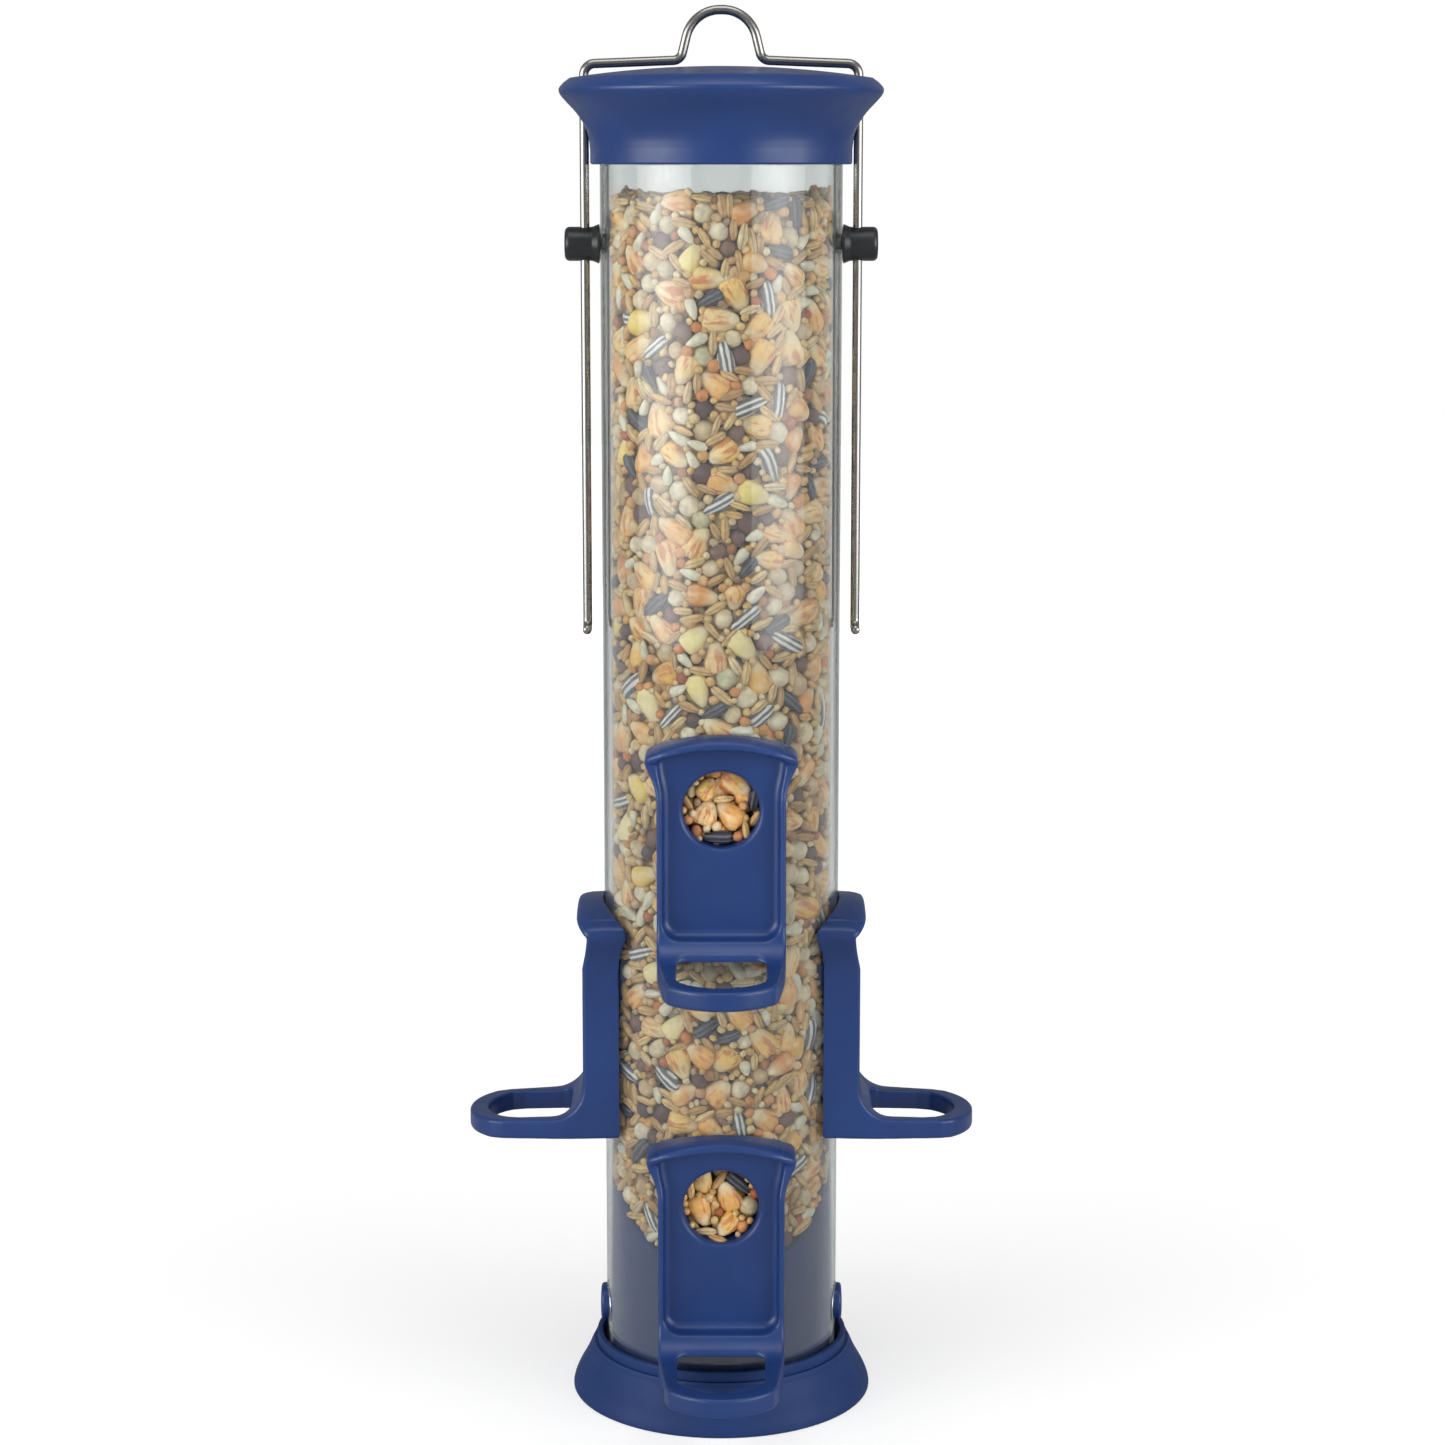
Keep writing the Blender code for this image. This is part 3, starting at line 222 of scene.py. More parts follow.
# %% [markdown]
# ## Holes
# A hole through a turned wall is easiest as a solid that is taken away. The exact Boolean does that, and
# its result is applied at once, so that the piece ends as a plain mesh. Each cutter overruns what it cuts.

# %% Boolean helpers
OVERRUN = 5.0


def moved(mesh, change):
    """The same mesh with its points, in millimetres, put through a change."""
    points = np.empty(len(mesh.vertices) * 3, np.float32)
    mesh.vertices.foreach_get("co", points)
    points = change(points.reshape(-1, 3) / METRES)
    mesh.vertices.foreach_set("co", (points * METRES).astype(np.float32).ravel())
    return closed(mesh)


def laid_out(points, turn, height):
    """Points of an upright solid, laid down so that its axis points out of the tube's side at a height."""
    return facing(points[:, [0, 2, 1]], turn) + (0, 0, height)


def rod(radius, near, far, turn=None, height=0.0, offset=(0.0, 0.0), steps=64):
    """A round rod: upright at an offset, or with a turn, pointing out of the tube's side at a height."""
    mesh = turned("rod", [(0, near), (radius, near), (radius, far), (0, far)], steps)
    if turn is None:
        return moved(mesh, lambda points: points + (*offset, 0))
    return moved(mesh, lambda points: laid_out(points, turn, height))


def block(low, high):
    """A box between two corners, as the eight points of a unit cube scaled and moved."""
    share = np.array([(x, y, z) for x in (0, 1) for y in (0, 1) for z in (0, 1)])
    low, high = np.minimum(low, high), np.maximum(low, high)
    faces = np.array([(0, 1, 3, 2), (4, 6, 7, 5), (0, 4, 5, 1), (2, 3, 7, 6), (0, 2, 6, 4), (1, 5, 7, 3)])
    return closed(make_mesh("block", low + share * (high - low), faces))


def carved(mesh, cutters, operation="DIFFERENCE"):
    """The mesh with each cutter taken away, or added, by the exact Boolean."""
    piece = new_object("carving", mesh)
    tools = [new_object("tool", cutter) for cutter in cutters]
    for tool in tools:
        cut = piece.modifiers.new("cut", "BOOLEAN")
        cut.operation = operation
        cut.solver = "EXACT"
        cut.object = tool
    depsgraph = bpy.context.evaluated_depsgraph_get()
    result = bpy.data.meshes.new_from_object(piece.evaluated_get(depsgraph), depsgraph=depsgraph)
    result.name = mesh.name
    for item in [piece, *tools]:
        bpy.data.objects.remove(item)
    return closed(result)


# %% [markdown]
# ## Finishes
# Each finish is one Principled shader with a little life in it. A number that holds all over goes on the
# socket, and only what varies over the surface comes from nodes. They read Object coordinates, in metres,
# so a noise of scale 1000 has a grain of about one millimetre.

# %% Node helpers
def start_finish(name, **sockets):
    """A new material with its node tree and Principled shader, and constants set on the shader's sockets."""
    material = bpy.data.materials.new(name)
    material.use_nodes = True
    tree = material.node_tree
    shader = tree.nodes["Principled BSDF"]
    for socket, value in sockets.items():
        shader.inputs[socket.replace("_", " ")].default_value = value
    return material, tree, shader


def add(tree, kind, inputs=None, **settings):
    """A node with its settings and inputs. An input is a number or colour, or the socket that feeds it."""
    node = tree.nodes.new(kind)
    for key, value in settings.items():
        setattr(node, key, value)
    for key, value in (inputs or {}).items():
        if isinstance(value, bpy.types.NodeSocket):
            tree.links.new(value, node.inputs[key])
        else:
            node.inputs[key].default_value = value
    return node


def own_place(tree):
    """The piece's own coordinates, in metres."""
    return add(tree, "ShaderNodeTexCoord").outputs["Object"]


def noise(tree, scale, detail=3.0, vector=None):
    """Noise on the piece's own coordinates, or on others."""
    inputs = {"Vector": vector or own_place(tree), "Scale": scale, "Detail": detail}
    return add(tree, "ShaderNodeTexNoise", inputs).outputs["Fac"]


def between(tree, value, low, high, start=0.0, end=1.0):
    """A value spread over another range."""
    inputs = {"Value": value, "From Min": start, "From Max": end, "To Min": low, "To Max": high}
    return add(tree, "ShaderNodeMapRange", inputs).outputs["Result"]


def mixed(tree, share, first, second, blend="MIX"):
    """Two colours mixed by a share. Each is a colour or a socket. The mix node takes colours at 6 and 7."""
    inputs = {0: share, 6: first, 7: second}
    return add(tree, "ShaderNodeMix", inputs, data_type="RGBA", blend_type=blend).outputs[2]


def maths(tree, operation, *values):
    """One step of arithmetic on numbers or sockets."""
    return add(tree, "ShaderNodeMath", dict(enumerate(values)), operation=operation).outputs[0]


def stretched(tree, vector, scale):
    """Coordinates times a scale in each direction."""
    return add(tree, "ShaderNodeMapping", {"Vector": vector, "Scale": scale}).outputs["Vector"]


def feed(shader, **sources):
    """Link outputs to the shader's sockets."""
    for socket, source in sources.items():
        shader.id_data.links.new(source, shader.inputs[socket.replace("_", " ")])


def relief(tree, shader, height, strength, distance):
    """A height as bump, up to a distance in metres."""
    bump = add(tree, "ShaderNodeBump", {"Height": height, "Strength": strength, "Distance": distance})
    feed(shader, Normal=bump.outputs["Normal"])


def ramp(tree, value, stops):
    """A value turned into a colour by a list of (place, colour)."""
    node = add(tree, "ShaderNodeValToRGB", {"Fac": value})
    elements = node.color_ramp.elements
    while len(elements) < len(stops):
        elements.new(0.5)
    for element, (place, colour) in zip(elements, stops):
        element.position = place
        element.color = (*colour, 1.0)
    return node.outputs["Color"]


# %% [markdown]
# ### Moulded plastic
# The blue parts come out of a mould whose walls were spark-eroded, so the plastic has a very fine satin
# grain and soft, broad highlights. Handling leaves it slightly shinier in some places than in others. The
# foot's mould is grained coarser, so the foot is duller. The foot and the deflector share that duller copy,
# and its colour is also a little darker than the blue's, as painted shade. The black guides have the same
# grain with less colour.

# %% Plastic finishes
TONE_SHARES = (0.93, 1.07)
DRIFT_SCALE = 55.0
RUB_SCALE = 160.0
GRAIN_SCALE = 4200.0


def moulded_plastic(name, colour, roughness, grain_depth, sheen=0.5):
    """Satin plastic: a faint drift of tone, a drift of gloss, and a fine grain as bump."""
    material, tree, shader = start_finish(name, IOR=1.5, Specular_IOR_Level=sheen)
    dark, light = ((*[channel * share for channel in colour], 1.0) for share in TONE_SHARES)
    drift = between(tree, noise(tree, DRIFT_SCALE), 0.0, 1.0, 0.35, 0.65)
    rub = noise(tree, RUB_SCALE, detail=4.0)
    gloss = between(tree, rub, roughness - 0.05, roughness + 0.06, 0.3, 0.7)
    feed(shader, Base_Color=mixed(tree, drift, dark, light), Roughness=gloss)
    relief(tree, shader, noise(tree, GRAIN_SCALE, detail=2.0), 0.35, grain_depth)
    return material


BLUE = moulded_plastic("blue_plastic", (0.0090, 0.0365, 0.155), 0.35, 0.00003)
# The duller copy is rougher and less glossy, and its colour is a little darker as painted shade.
DULL_SHADED_BLUE = moulded_plastic("blue_plastic_matt_painted_shade", (0.0076, 0.0310, 0.130), 0.56, 0.00004, 0.28)
BLACK = moulded_plastic("black_plastic", (0.013, 0.014, 0.016), 0.34, 0.00003)

# %% [markdown]
# ### Clear tube
# The tube is extruded clear plastic with a two-millimetre wall. It has a faint green tint of its own, made
# much deeper and greyer as painted shade. Real refraction gives the pale strips at its edges. Light that
# falls through it onto the seed would be lost in noise, so lamps see a clear window instead. Where the
# wall turns away from the eye, part of it is plain window too, because its mirrored edge is too dark.

# %% Clear finish
HAZE = 0.012
HAZE_COLOUR = (0.80, 0.82, 0.81, 1.0)
PALE_WINDOW = (0.86, 0.88, 0.87, 1.0)
LAMP_WINDOW = (0.99, 0.99, 0.99, 1.0)
WAVE_STRETCH = (1.0, 1.0, 0.02)


def clear_plastic():
    """Glass for the eye, with a grey tint that is partly painted shade, and a clear window for lamps, with
    faint lengthwise waves.
    """
    # The glass's base colour is a faint green tint of its own, made much deeper as painted shade.
    glass = dict(Base_Color=(0.68, 0.705, 0.695, 1.0), Transmission_Weight=1.0, IOR=1.49, Roughness=0.04)
    material, tree, shader = start_finish("clear_plastic", **glass)
    place = stretched(tree, own_place(tree), WAVE_STRETCH)
    relief(tree, shader, noise(tree, 130.0, detail=1.0, vector=place), 0.12, 0.0002)

    def blend(share, first, second):
        """Two shaders mixed by a share."""
        return add(tree, "ShaderNodeMixShader", {0: share, 1: first.outputs[0], 2: second.outputs[0]})

    haze = add(tree, "ShaderNodeBsdfDiffuse", {"Color": HAZE_COLOUR})
    thin, window = (
        add(tree, "ShaderNodeBsdfTransparent", {"Color": colour}) for colour in (PALE_WINDOW, LAMP_WINDOW))
    facing_away = add(tree, "ShaderNodeLayerWeight", {"Blend": 0.5}).outputs["Facing"]
    edge = between(tree, facing_away, 0.0, 0.65, 0.62, 0.96)
    lamps = add(tree, "ShaderNodeLightPath").outputs["Is Shadow Ray"]
    both = blend(lamps, blend(edge, blend(HAZE, shader, haze), thin), window)
    tree.links.new(both.outputs[0], tree.nodes["Material Output"].inputs["Surface"])
    return material


CLEAR = clear_plastic()

# %% [markdown]
# ### Steel
# The bail is drawn stainless wire. Drawing leaves fine lines along it, so its UV map runs along the wire
# and the noise is stretched that way. The screw and the retainers are plain zinc-plated steel.

# %% Steel finishes
LINE_STRETCH = (10.0, 9.0, 1.0)


def drawn_steel():
    """Bright wire with fine lines along its length, from noise that is stretched along the piece's UV map."""
    material, tree, shader = start_finish("steel_wire", Metallic=1.0)
    track = add(tree, "ShaderNodeUVMap").outputs["UV"]
    lines = noise(tree, 1.0, vector=stretched(tree, track, LINE_STRETCH))
    colour = mixed(tree, lines, (0.31, 0.305, 0.29, 1.0), (0.38, 0.37, 0.35, 1.0))
    feed(shader, Base_Color=colour, Roughness=between(tree, noise(tree, 260.0), 0.24, 0.30, 0.3, 0.7))
    return material


def plated_steel(name, colour, roughness):
    """Plated steel: a grey metal with a cloudy gloss and fine scratches."""
    material, tree, shader = start_finish(name, Metallic=1.0, Base_Color=(*colour, 1.0))
    clouds = noise(tree, 900.0, detail=5.0)
    feed(shader, Roughness=between(tree, clouds, roughness - 0.08, roughness + 0.1, 0.3, 0.7))
    return material


STEEL = drawn_steel()
ZINC = plated_steel("screw_steel", (0.55, 0.56, 0.58), 0.36)
SPRING = plated_steel("retainer_steel", (0.60, 0.58, 0.54), 0.30)

# %% [markdown]
# ## The clear tube
# A plain tube: the outline is the section of its wall, turned about the axis. It is cut through for the six
# ports' spigots, the stems of the two wire guides and the two latch buttons.

# %% Tube
TUBE_WALL = 2.0
TUBE_EDGE = 0.3
SEAT_GAP = 0.3
PORT_HOLE_RADIUS = 12.1
GUIDE_HEIGHT = 322.0
GUIDE_HOLE_RADIUS = 2.8
LATCH_HEIGHT = 24.0
LATCH_HOLE_RADIUS = 5.9
SIGNS = {"left": -1, "right": 1}
PORT_TURNS = {"front": 0, "back": 180, "left": -90, "right": 90}
HOLE_HEIGHTS = {"upper": 173.6, "middle": 122.1, "lower": 63.1}
ROW_SIDES = {"upper": ("front", "back"), "middle": ("left", "right"), "lower": ("front", "back")}
PORTS = [(row, side) for row, sides in ROW_SIDES.items() for side in sides]

tube_low, tube_high = (np.array(corner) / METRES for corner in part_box("tube"))
TUBE_OUTER = tube_high[0]
TUBE_INNER = TUBE_OUTER - TUBE_WALL


def tube_mesh():
    """The wall's section turned about the axis, less its side holes."""
    section = rounded([
        (TUBE_INNER, tube_low[2], TUBE_EDGE), (TUBE_OUTER, tube_low[2], TUBE_EDGE),
        (TUBE_OUTER, tube_high[2], TUBE_EDGE), (TUBE_INNER, tube_high[2], TUBE_EDGE)])
    near, far = TUBE_INNER / 2, TUBE_OUTER + OVERRUN
    holes = [rod(PORT_HOLE_RADIUS, near, far, PORT_TURNS[side], HOLE_HEIGHTS[row]) for row, side in PORTS]
    for side in SIGNS:
        holes.append(rod(GUIDE_HOLE_RADIUS, near, far, PORT_TURNS[side], GUIDE_HEIGHT, steps=32))
        holes.append(rod(LATCH_HOLE_RADIUS, near, far, PORT_TURNS[side], LATCH_HEIGHT, steps=48))
    return carved(turned("clear_tube", section), holes)


show(tube_mesh(), "feeder", CLEAR, ["tube"])

# %% [markdown]
# ## The cap
# One turned shell: a low dome, a rounded rim, a flare that draws in to the skirt, and a ring inside that
# plugs the tube. The flare is a free curve through points given as shares of its reach and height, so it
# can be read against the drawing of the real cap. Two holes in the flare let it slide up the wires.

# %% Cap
CAP_SEAT = tube_high[2] + SEAT_GAP
CAP_SKIRT = (33.0, 35.0)
CAP_SKIRT_DEPTH = 21.3
CAP_RIM_SPREAD = 8.3
CAP_EDGE = 1.3
CAP_CROWN = 3.1
CAP_FLARE = 18.6
CAP_WALL = 2.0
CAP_RING = (28.4, 30.0)
CAP_RING_DEPTH = 8.0
CAP_RING_CHAMFER = 0.5
CAP_RIM_SHARES = [
    (0.65, 1.0), (0.82, 0.945), (0.95, 0.885), (0.995, 0.85), (1.0, 0.82), (0.975, 0.785), (0.90, 0.735),
    (0.76, 0.665), (0.41, 0.495), (0.17, 0.32), (0.05, 0.16), (0.0, 0.0)]
CAP_HOLLOW_SHARES = [(0.0, 0.32), (0.47, 0.565), (0.98, 0.82), (0.85, 0.89)]
WIRE_RADIUS = 1.25
WIRE_OFFSET = 36.6
WIRE_HOLE_RADIUS = 1.6


def wire_hole(side, low, high):
    """A rod to take away where the wire passes on a side."""
    return rod(WIRE_HOLE_RADIUS, low, high, offset=(SIGNS[side] * WIRE_OFFSET, 0), steps=32)


def cap_mesh():
    """The cap's section, from the crown outwards, down the flare and back inside, turned about the axis."""
    (inner, outer), (ring_inner, ring_outer) = CAP_SKIRT, CAP_RING
    low = CAP_EDGE - CAP_FLARE
    rim = np.array(CAP_RIM_SHARES) * (CAP_RIM_SPREAD, CAP_FLARE) + (outer, low)
    hollow = np.array(CAP_HOLLOW_SHARES) * (CAP_RIM_SPREAD, CAP_FLARE) + (inner, low)

    def crown(radii, edge):
        """The dome over radii: edge + crown (1 - (r / R)^2), with R where the rim begins."""
        return np.stack([radii, edge + CAP_CROWN * (1 - (radii / rim[0, 0]) ** 2)], axis=1)

    roof = crown(np.linspace(0, rim[0, 0], 16)[:-1], CAP_EDGE)
    under = crown(np.linspace(ring_inner, 0, 10), CAP_EDGE - CAP_WALL)
    skirt = rounded([
        (outer, low, 0), (outer, -CAP_SKIRT_DEPTH, 0.6), (inner, -CAP_SKIRT_DEPTH, 0.5),
        (inner, low, 0)])[1:-1]
    ring = [
        (outer, 0), (ring_outer, 0), (ring_outer, CAP_RING_CHAMFER - CAP_RING_DEPTH),
        (ring_outer - CAP_RING_CHAMFER, -CAP_RING_DEPTH), (ring_inner, -CAP_RING_DEPTH)]
    outline = np.vstack([roof, through(rim, 5), skirt, through(hollow, 4), ring, under])
    mesh = turned("cap_shell", outline + (0, CAP_SEAT))
    ends = CAP_SEAT - CAP_SKIRT_DEPTH - OVERRUN, CAP_SEAT + 2 * OVERRUN
    return carved(mesh, [wire_hole(side, *ends) for side in SIGNS])


show(cap_mesh(), "cap", BLUE, ["cap"])

# %% [markdown]
# ## The wire bail
# One length of wire, bent into two legs, two shoulders that lie over the cap, and a loop to hang it by. The
# path has arcs at its bends. A circle is carried along it: at each point of the path, two directions across
# the wire span the circle, and the ends draw in to a small dome, as a cropped and tumbled wire has.

# %% Bail
BAIL_FOOT = 5.5
BAIL_TRAVEL = 98.0
GUIDE_RADIUS = 4.55
STOP_GAP = 0.3
WIRE_GAP = 0.35
LOOP_HALF_WIDTH = 7.6
NECK_HALF_WIDTH = 10.8
LOOP_HEIGHT = 13.1
SHOULDER_RISE = 1.0
FOOT_BEND = 2.5
SHOULDER_BEND = 3.0
NECK_BEND = 2.6
LOOP_BEND = LOOP_HALF_WIDTH * 1.2
POINT_SPACING = 3.0
DOME_ANGLES = np.radians([4, 25, 50, 75])
DOME_DEPTH = 0.7
CROSS_REFERENCE = (1.0, 1.0, 0.0)


def bent_path(corners, steps=14):
    """A path through (x, y, z, bend radius) corners, with an arc of that radius at each inner corner."""
    corners = np.array(corners, float)
    places = corners[:, :3]
    arcs = [corner_arc(*places[i:i + 3], corners[i + 1, 3], steps) for i in range(len(places) - 2)]
    return np.vstack([places[:1], *arcs, places[-1:]])


def reach_along(path):
    """How far along a path each of its points lies."""
    return np.concatenate([[0], np.cumsum(np.linalg.norm(np.diff(path, axis=0), axis=1))])


def spaced(path, spacing):
    """The same path with a point about every spacing, to keep the wire's lines even, and the reaches."""
    reach = reach_along(path)
    marks = np.unique(np.concatenate([reach, np.arange(0, reach[-1], spacing)]))
    return np.stack([np.interp(marks, reach, path[:, axis]) for axis in range(3)], axis=1), marks


def wire_mesh(name, path, radius, around=20):
    """A circle carried along a path: centre + r (cos a u + sin a v), with r drawn in to a dome at both ends.

    In a dome, r is the wire's radius times sin b, at a depth that grows with 1 - cos b, for a few angles b.
    """
    path, reach = spaced(path, POINT_SPACING)
    along = unit(np.gradient(path, axis=0))
    u = unit(np.cross(along, CROSS_REFERENCE))
    v = np.cross(along, u)
    dome = np.sin(DOME_ANGLES)
    inset = (radius * DOME_DEPTH * (1 - np.cos(DOME_ANGLES)))[:, None]
    inner = np.flatnonzero((reach > radius) & (reach < reach[-1] - radius))
    taken = [0] * len(dome) + list(inner) + [-1] * len(dome)
    size = radius * np.concatenate([dome, np.ones(len(inner)), dome[::-1]])
    path = np.vstack([path[0] + along[0] * inset, path[inner], (path[-1] - along[-1] * inset)[::-1]])
    angle = 2 * math.pi * np.arange(around) / around
    ring = u[taken][:, None] * np.cos(angle)[:, None] + v[taken][:, None] * np.sin(angle)[:, None]
    points = path[:, None] + ring * size[:, None, None]
    ends = np.array([range(around - 1, -1, -1), range((len(path) - 1) * around, len(path) * around)])
    mesh = make_mesh(name, points.reshape(-1, 3), grid_faces(len(path), around), ends)
    track = mesh.uv_layers.new(name="track")
    corners = np.empty(len(mesh.loops), np.int32)
    mesh.loops.foreach_get("vertex_index", corners)
    length = reach_along(path)
    place = np.stack([(corners % around) / around, length[corners // around] / length[-1]], axis=1)
    track.data.foreach_set("uv", place.astype(np.float32).ravel())
    return closed(mesh)


def bail_path():
    """The wire's path: foot, leg, shoulder, neck and loop on the right, then the same mirrored."""
    foot = GUIDE_HEIGHT - GUIDE_RADIUS - BAIL_TRAVEL - WIRE_RADIUS - STOP_GAP
    neck = CAP_SEAT + CAP_EDGE + CAP_CROWN + WIRE_GAP + WIRE_RADIUS
    right = [
        (WIRE_OFFSET, -BAIL_FOOT, foot, 0), (WIRE_OFFSET, 0, foot, FOOT_BEND),
        (WIRE_OFFSET, 0, neck - SHOULDER_RISE, SHOULDER_BEND), (NECK_HALF_WIDTH, 0, neck, NECK_BEND),
        (LOOP_HALF_WIDTH, 0, neck + LOOP_HEIGHT, LOOP_BEND)]
    return bent_path(right + [(-x, y, z, bend) for x, y, z, bend in reversed(right)])


show(wire_mesh("wire_bail", bail_path(), WIRE_RADIUS), "bail", STEEL, ["hanger_bail"])

# %% [markdown]
# ## The wire guides
# Two black barrels stand out of the tube's sides and hold the wires off it. Each is turned about its own
# axis, has a flared foot that is hollowed to the tube's curve, a rounded end, a hole for the wire, and a
# stem that passes through the wall into a retainer.

# %% Guides
GUIDE_END = WIRE_OFFSET + WIRE_HOLE_RADIUS + 3.8
GUIDE_FOOT_RADIUS = 5.2
GUIDE_FOOT_EDGE = 1.2
GUIDE_FLARE_END = 2.8
SADDLE_DEPTH = 0.7
STEM_RADIUS = 2.5
STEM_END = 27.2
STEM_ROOT = 1.5


def guide_mesh(side):
    """A turned barrel laid on its side, hollowed by the tube, with its stem and its wire hole."""
    turn = PORT_TURNS[side]
    foot = TUBE_OUTER - SADDLE_DEPTH
    outline = rounded([
        (0, foot, 0), (GUIDE_FOOT_RADIUS, foot, 0.2), (GUIDE_FOOT_RADIUS, foot + GUIDE_FOOT_EDGE, 0.5),
        (GUIDE_RADIUS, foot + GUIDE_FLARE_END, 1.5), (GUIDE_RADIUS, GUIDE_END, 1.3), (0, GUIDE_END, 0)])
    upright = turned(f"wire_guide_{side}_barrel", outline, 64)
    barrel = moved(upright, lambda points: laid_out(points, turn, GUIDE_HEIGHT))
    ends = GUIDE_HEIGHT - 2 * OVERRUN, GUIDE_HEIGHT + 2 * OVERRUN
    saddle = rod(TUBE_OUTER + SEAT_GAP, *ends, steps=TURN_STEPS)
    stem = rod(STEM_RADIUS, STEM_END, TUBE_OUTER + STEM_ROOT, turn, GUIDE_HEIGHT, steps=32)
    return carved(carved(carved(barrel, [saddle]), [stem], "UNION"), [wire_hole(side, *ends)])


for side in SIGNS:
    show(guide_mesh(side), "feeder", BLACK, [f"wire_guide_{side}"])

# %% [markdown]
# ## The feeding port as a distance field
# A port is one soft-edged moulding: a plate bent round the tube, a flared hood with a bowed lip, a recess,
# a sill, a perch with an opening, and a spigot with a hole. Grids of patches would leave a seam at every
# edge. A distance field suits it better: each simple shape is a number that is negative inside it, the
# numbers are combined as whole arrays, and the surface is where the result is zero. When two such numbers
# meet, a rounding radius gives the soft edge that a real mould has.

# %% Distance helpers
def outline_distance(outline, x, y):
    """The distance of grid points from a closed outline, negative inside.

    It is the least, over the edges, of the distance to the edge's nearest point. The sign comes from counting
    the edges that a ray to one side crosses.
    """
    x, y = np.broadcast_arrays(x, y)
    least = np.full(x.shape, np.inf)
    inside = np.zeros(x.shape, bool)
    for (ax, ay), (bx, by) in zip(outline, np.roll(outline, -1, axis=0)):
        ex, ey = bx - ax, by - ay
        share = np.clip(((x - ax) * ex + (y - ay) * ey) / max(ex * ex + ey * ey, 1e-12), 0, 1)
        least = np.minimum(least, (x - ax - ex * share) ** 2 + (y - ay - ey * share) ** 2)
        if ay != by:
            inside ^= ((ay > y) != (by > y)) & (x < ex * (y - ay) / ey + ax)
    return np.where(inside, -1, 1) * np.sqrt(least)


def meet(first, second, radius):
    """What two shapes share, with the edge between them rounded to a radius."""
    round_part = np.hypot(np.maximum(radius + first, 0), np.maximum(radius + second, 0))
    return np.minimum(-radius, np.maximum(first, second)) + round_part


def shared(*shapes):
    """What several shapes share, with sharp edges."""
    return functools.reduce(np.maximum, shapes)


def field_surface(field_of, low, high, step):
    """The points and quads of the surface where a field is zero, in the box between two corners.

    The field is worked out on a grid. Each grid edge whose ends lie on different sides gives a point where
    the field crosses zero, by its share of the edge. A cell's point is the mean of its edges' crossings, and
    each such edge gives the quad that joins the points of the four cells round it.
    """
    axes = [np.arange(a - 2 * step, b + 3 * step, step) for a, b in zip(low, high)]
    field = field_of(*np.ix_(*axes))
    inside = field < 0
    cells = np.array(field.shape) - 1
    strides = np.array([cells[1] * cells[2], cells[2], 1])
    total = np.zeros((3, cells.prod()))
    count = np.zeros(cells.prod())
    quads = []
    for axis in range(3):
        ahead = [slice(None)] * 3
        behind = [slice(None)] * 3
        ahead[axis], behind[axis] = slice(1, None), slice(None, -1)
        crossing = inside[tuple(ahead)] != inside[tuple(behind)]
        edge = np.stack(np.nonzero(crossing))
        first, last = field[tuple(behind)][crossing], field[tuple(ahead)][crossing]
        place = edge.astype(float)
        place[axis] += first / (first - last)
        one, two = [other for other in range(3) if other != axis]
        ring = []
        for back_one, back_two in ((0, 0), (1, 0), (1, 1), (0, 1)):
            cell = edge.copy()
            cell[one] -= back_one
            cell[two] -= back_two
            ring.append(strides @ cell)
        for index in ring:
            count += np.bincount(index, minlength=len(count))
            for way in range(3):
                total[way] += np.bincount(index, weights=place[way], minlength=len(count))
        quad = np.stack(ring, axis=1)
        turn_over = (first < 0) == (axis == 1)
        quad[turn_over] = quad[turn_over][:, ::-1]
        quads.append(quad)
    used = count > 0
    number = np.cumsum(used) - 1
    origin = np.array([line[0] for line in axes])
    points = (total[:, used] / count[used]).T * step + origin
    return points, number[np.concatenate(quads)]


# %% [markdown]
# ### The port's sizes
# The height is measured from the middle of the seed hole, and the reach from the tube's axis. The hood's
# sides are a free curve through shares of its spread and height, and its top is an arch that rounds over
# towards the lip.

# %% Port sizes
PORT_TOP = 20.5
PORT_BOTTOM = -45.6
PORT_HALF = 17.25
PORT_FACE = 38.2
PORT_FLOOR = 34.0
PORT_BACK = 23.4
LIP_REACH = 40.2
LIP_LOW = 16.3
LIP_CURVE = [(39.7, 15.4), (38.5, 14.2), (37.35, 13.25)]
NECK = (36.8, 12.7)
NECK_CURVE = (37.3, 8.2)
NECK_END = 3.7
HOOD_SPREAD = 3.1
HOOD_FLARE = 17.5
HOOD_BOW = 3.2
HOOD_BOW_POWER = 4.7
HOOD_FRONT = 40.6
ARCH_DROP = 3.2
EDGE_DROP = 2.6
EDGE_DROP_SHARES = ([0.0, 0.5, 0.74, 0.86, 0.93, 0.98, 1.0], [0.0, 0.08, 0.22, 0.36, 0.52, 0.78, 1.0])
HOOD_SIDE_SHARES = [
    (1.3, 0.0), (1.0, 0.0), (0.83, 0.12), (0.67, 0.40), (0.51, 0.83), (0.42, 1.0), (0.36, 0.97),
    (0.285, 0.77), (0.23, 0.45), (0.18, 0.0)]
HOOD_WIDEST_SHARE = 0.42
RECESS_HALF = 15.65
RECESS_SPREAD = 1.5
RECESS_TOP = 17.5
RECESS_LOW = -34.4
RECESS_SIDE_SHARES = [
    (1.3, 0.0), (1.0, 0.0), (0.82, 0.15), (0.63, 0.60), (0.42, 0.95), (0.30, 1.05), (0.15, 1.1)]
SILL_RADIUS = 9.5
PERCH_TOP = -39.6
PERCH_END = 70.7
PERCH_FALL = 0.8
PERCH_HALF = 15.25
PERCH_TIP_RADIUS = 18.5
PERCH_BAR = 5.2
TIP_BLEND = 1.8
OPENING_TOP = -25.0
OPENING_BACK = 42.2
OPENING_HALF = 12.05
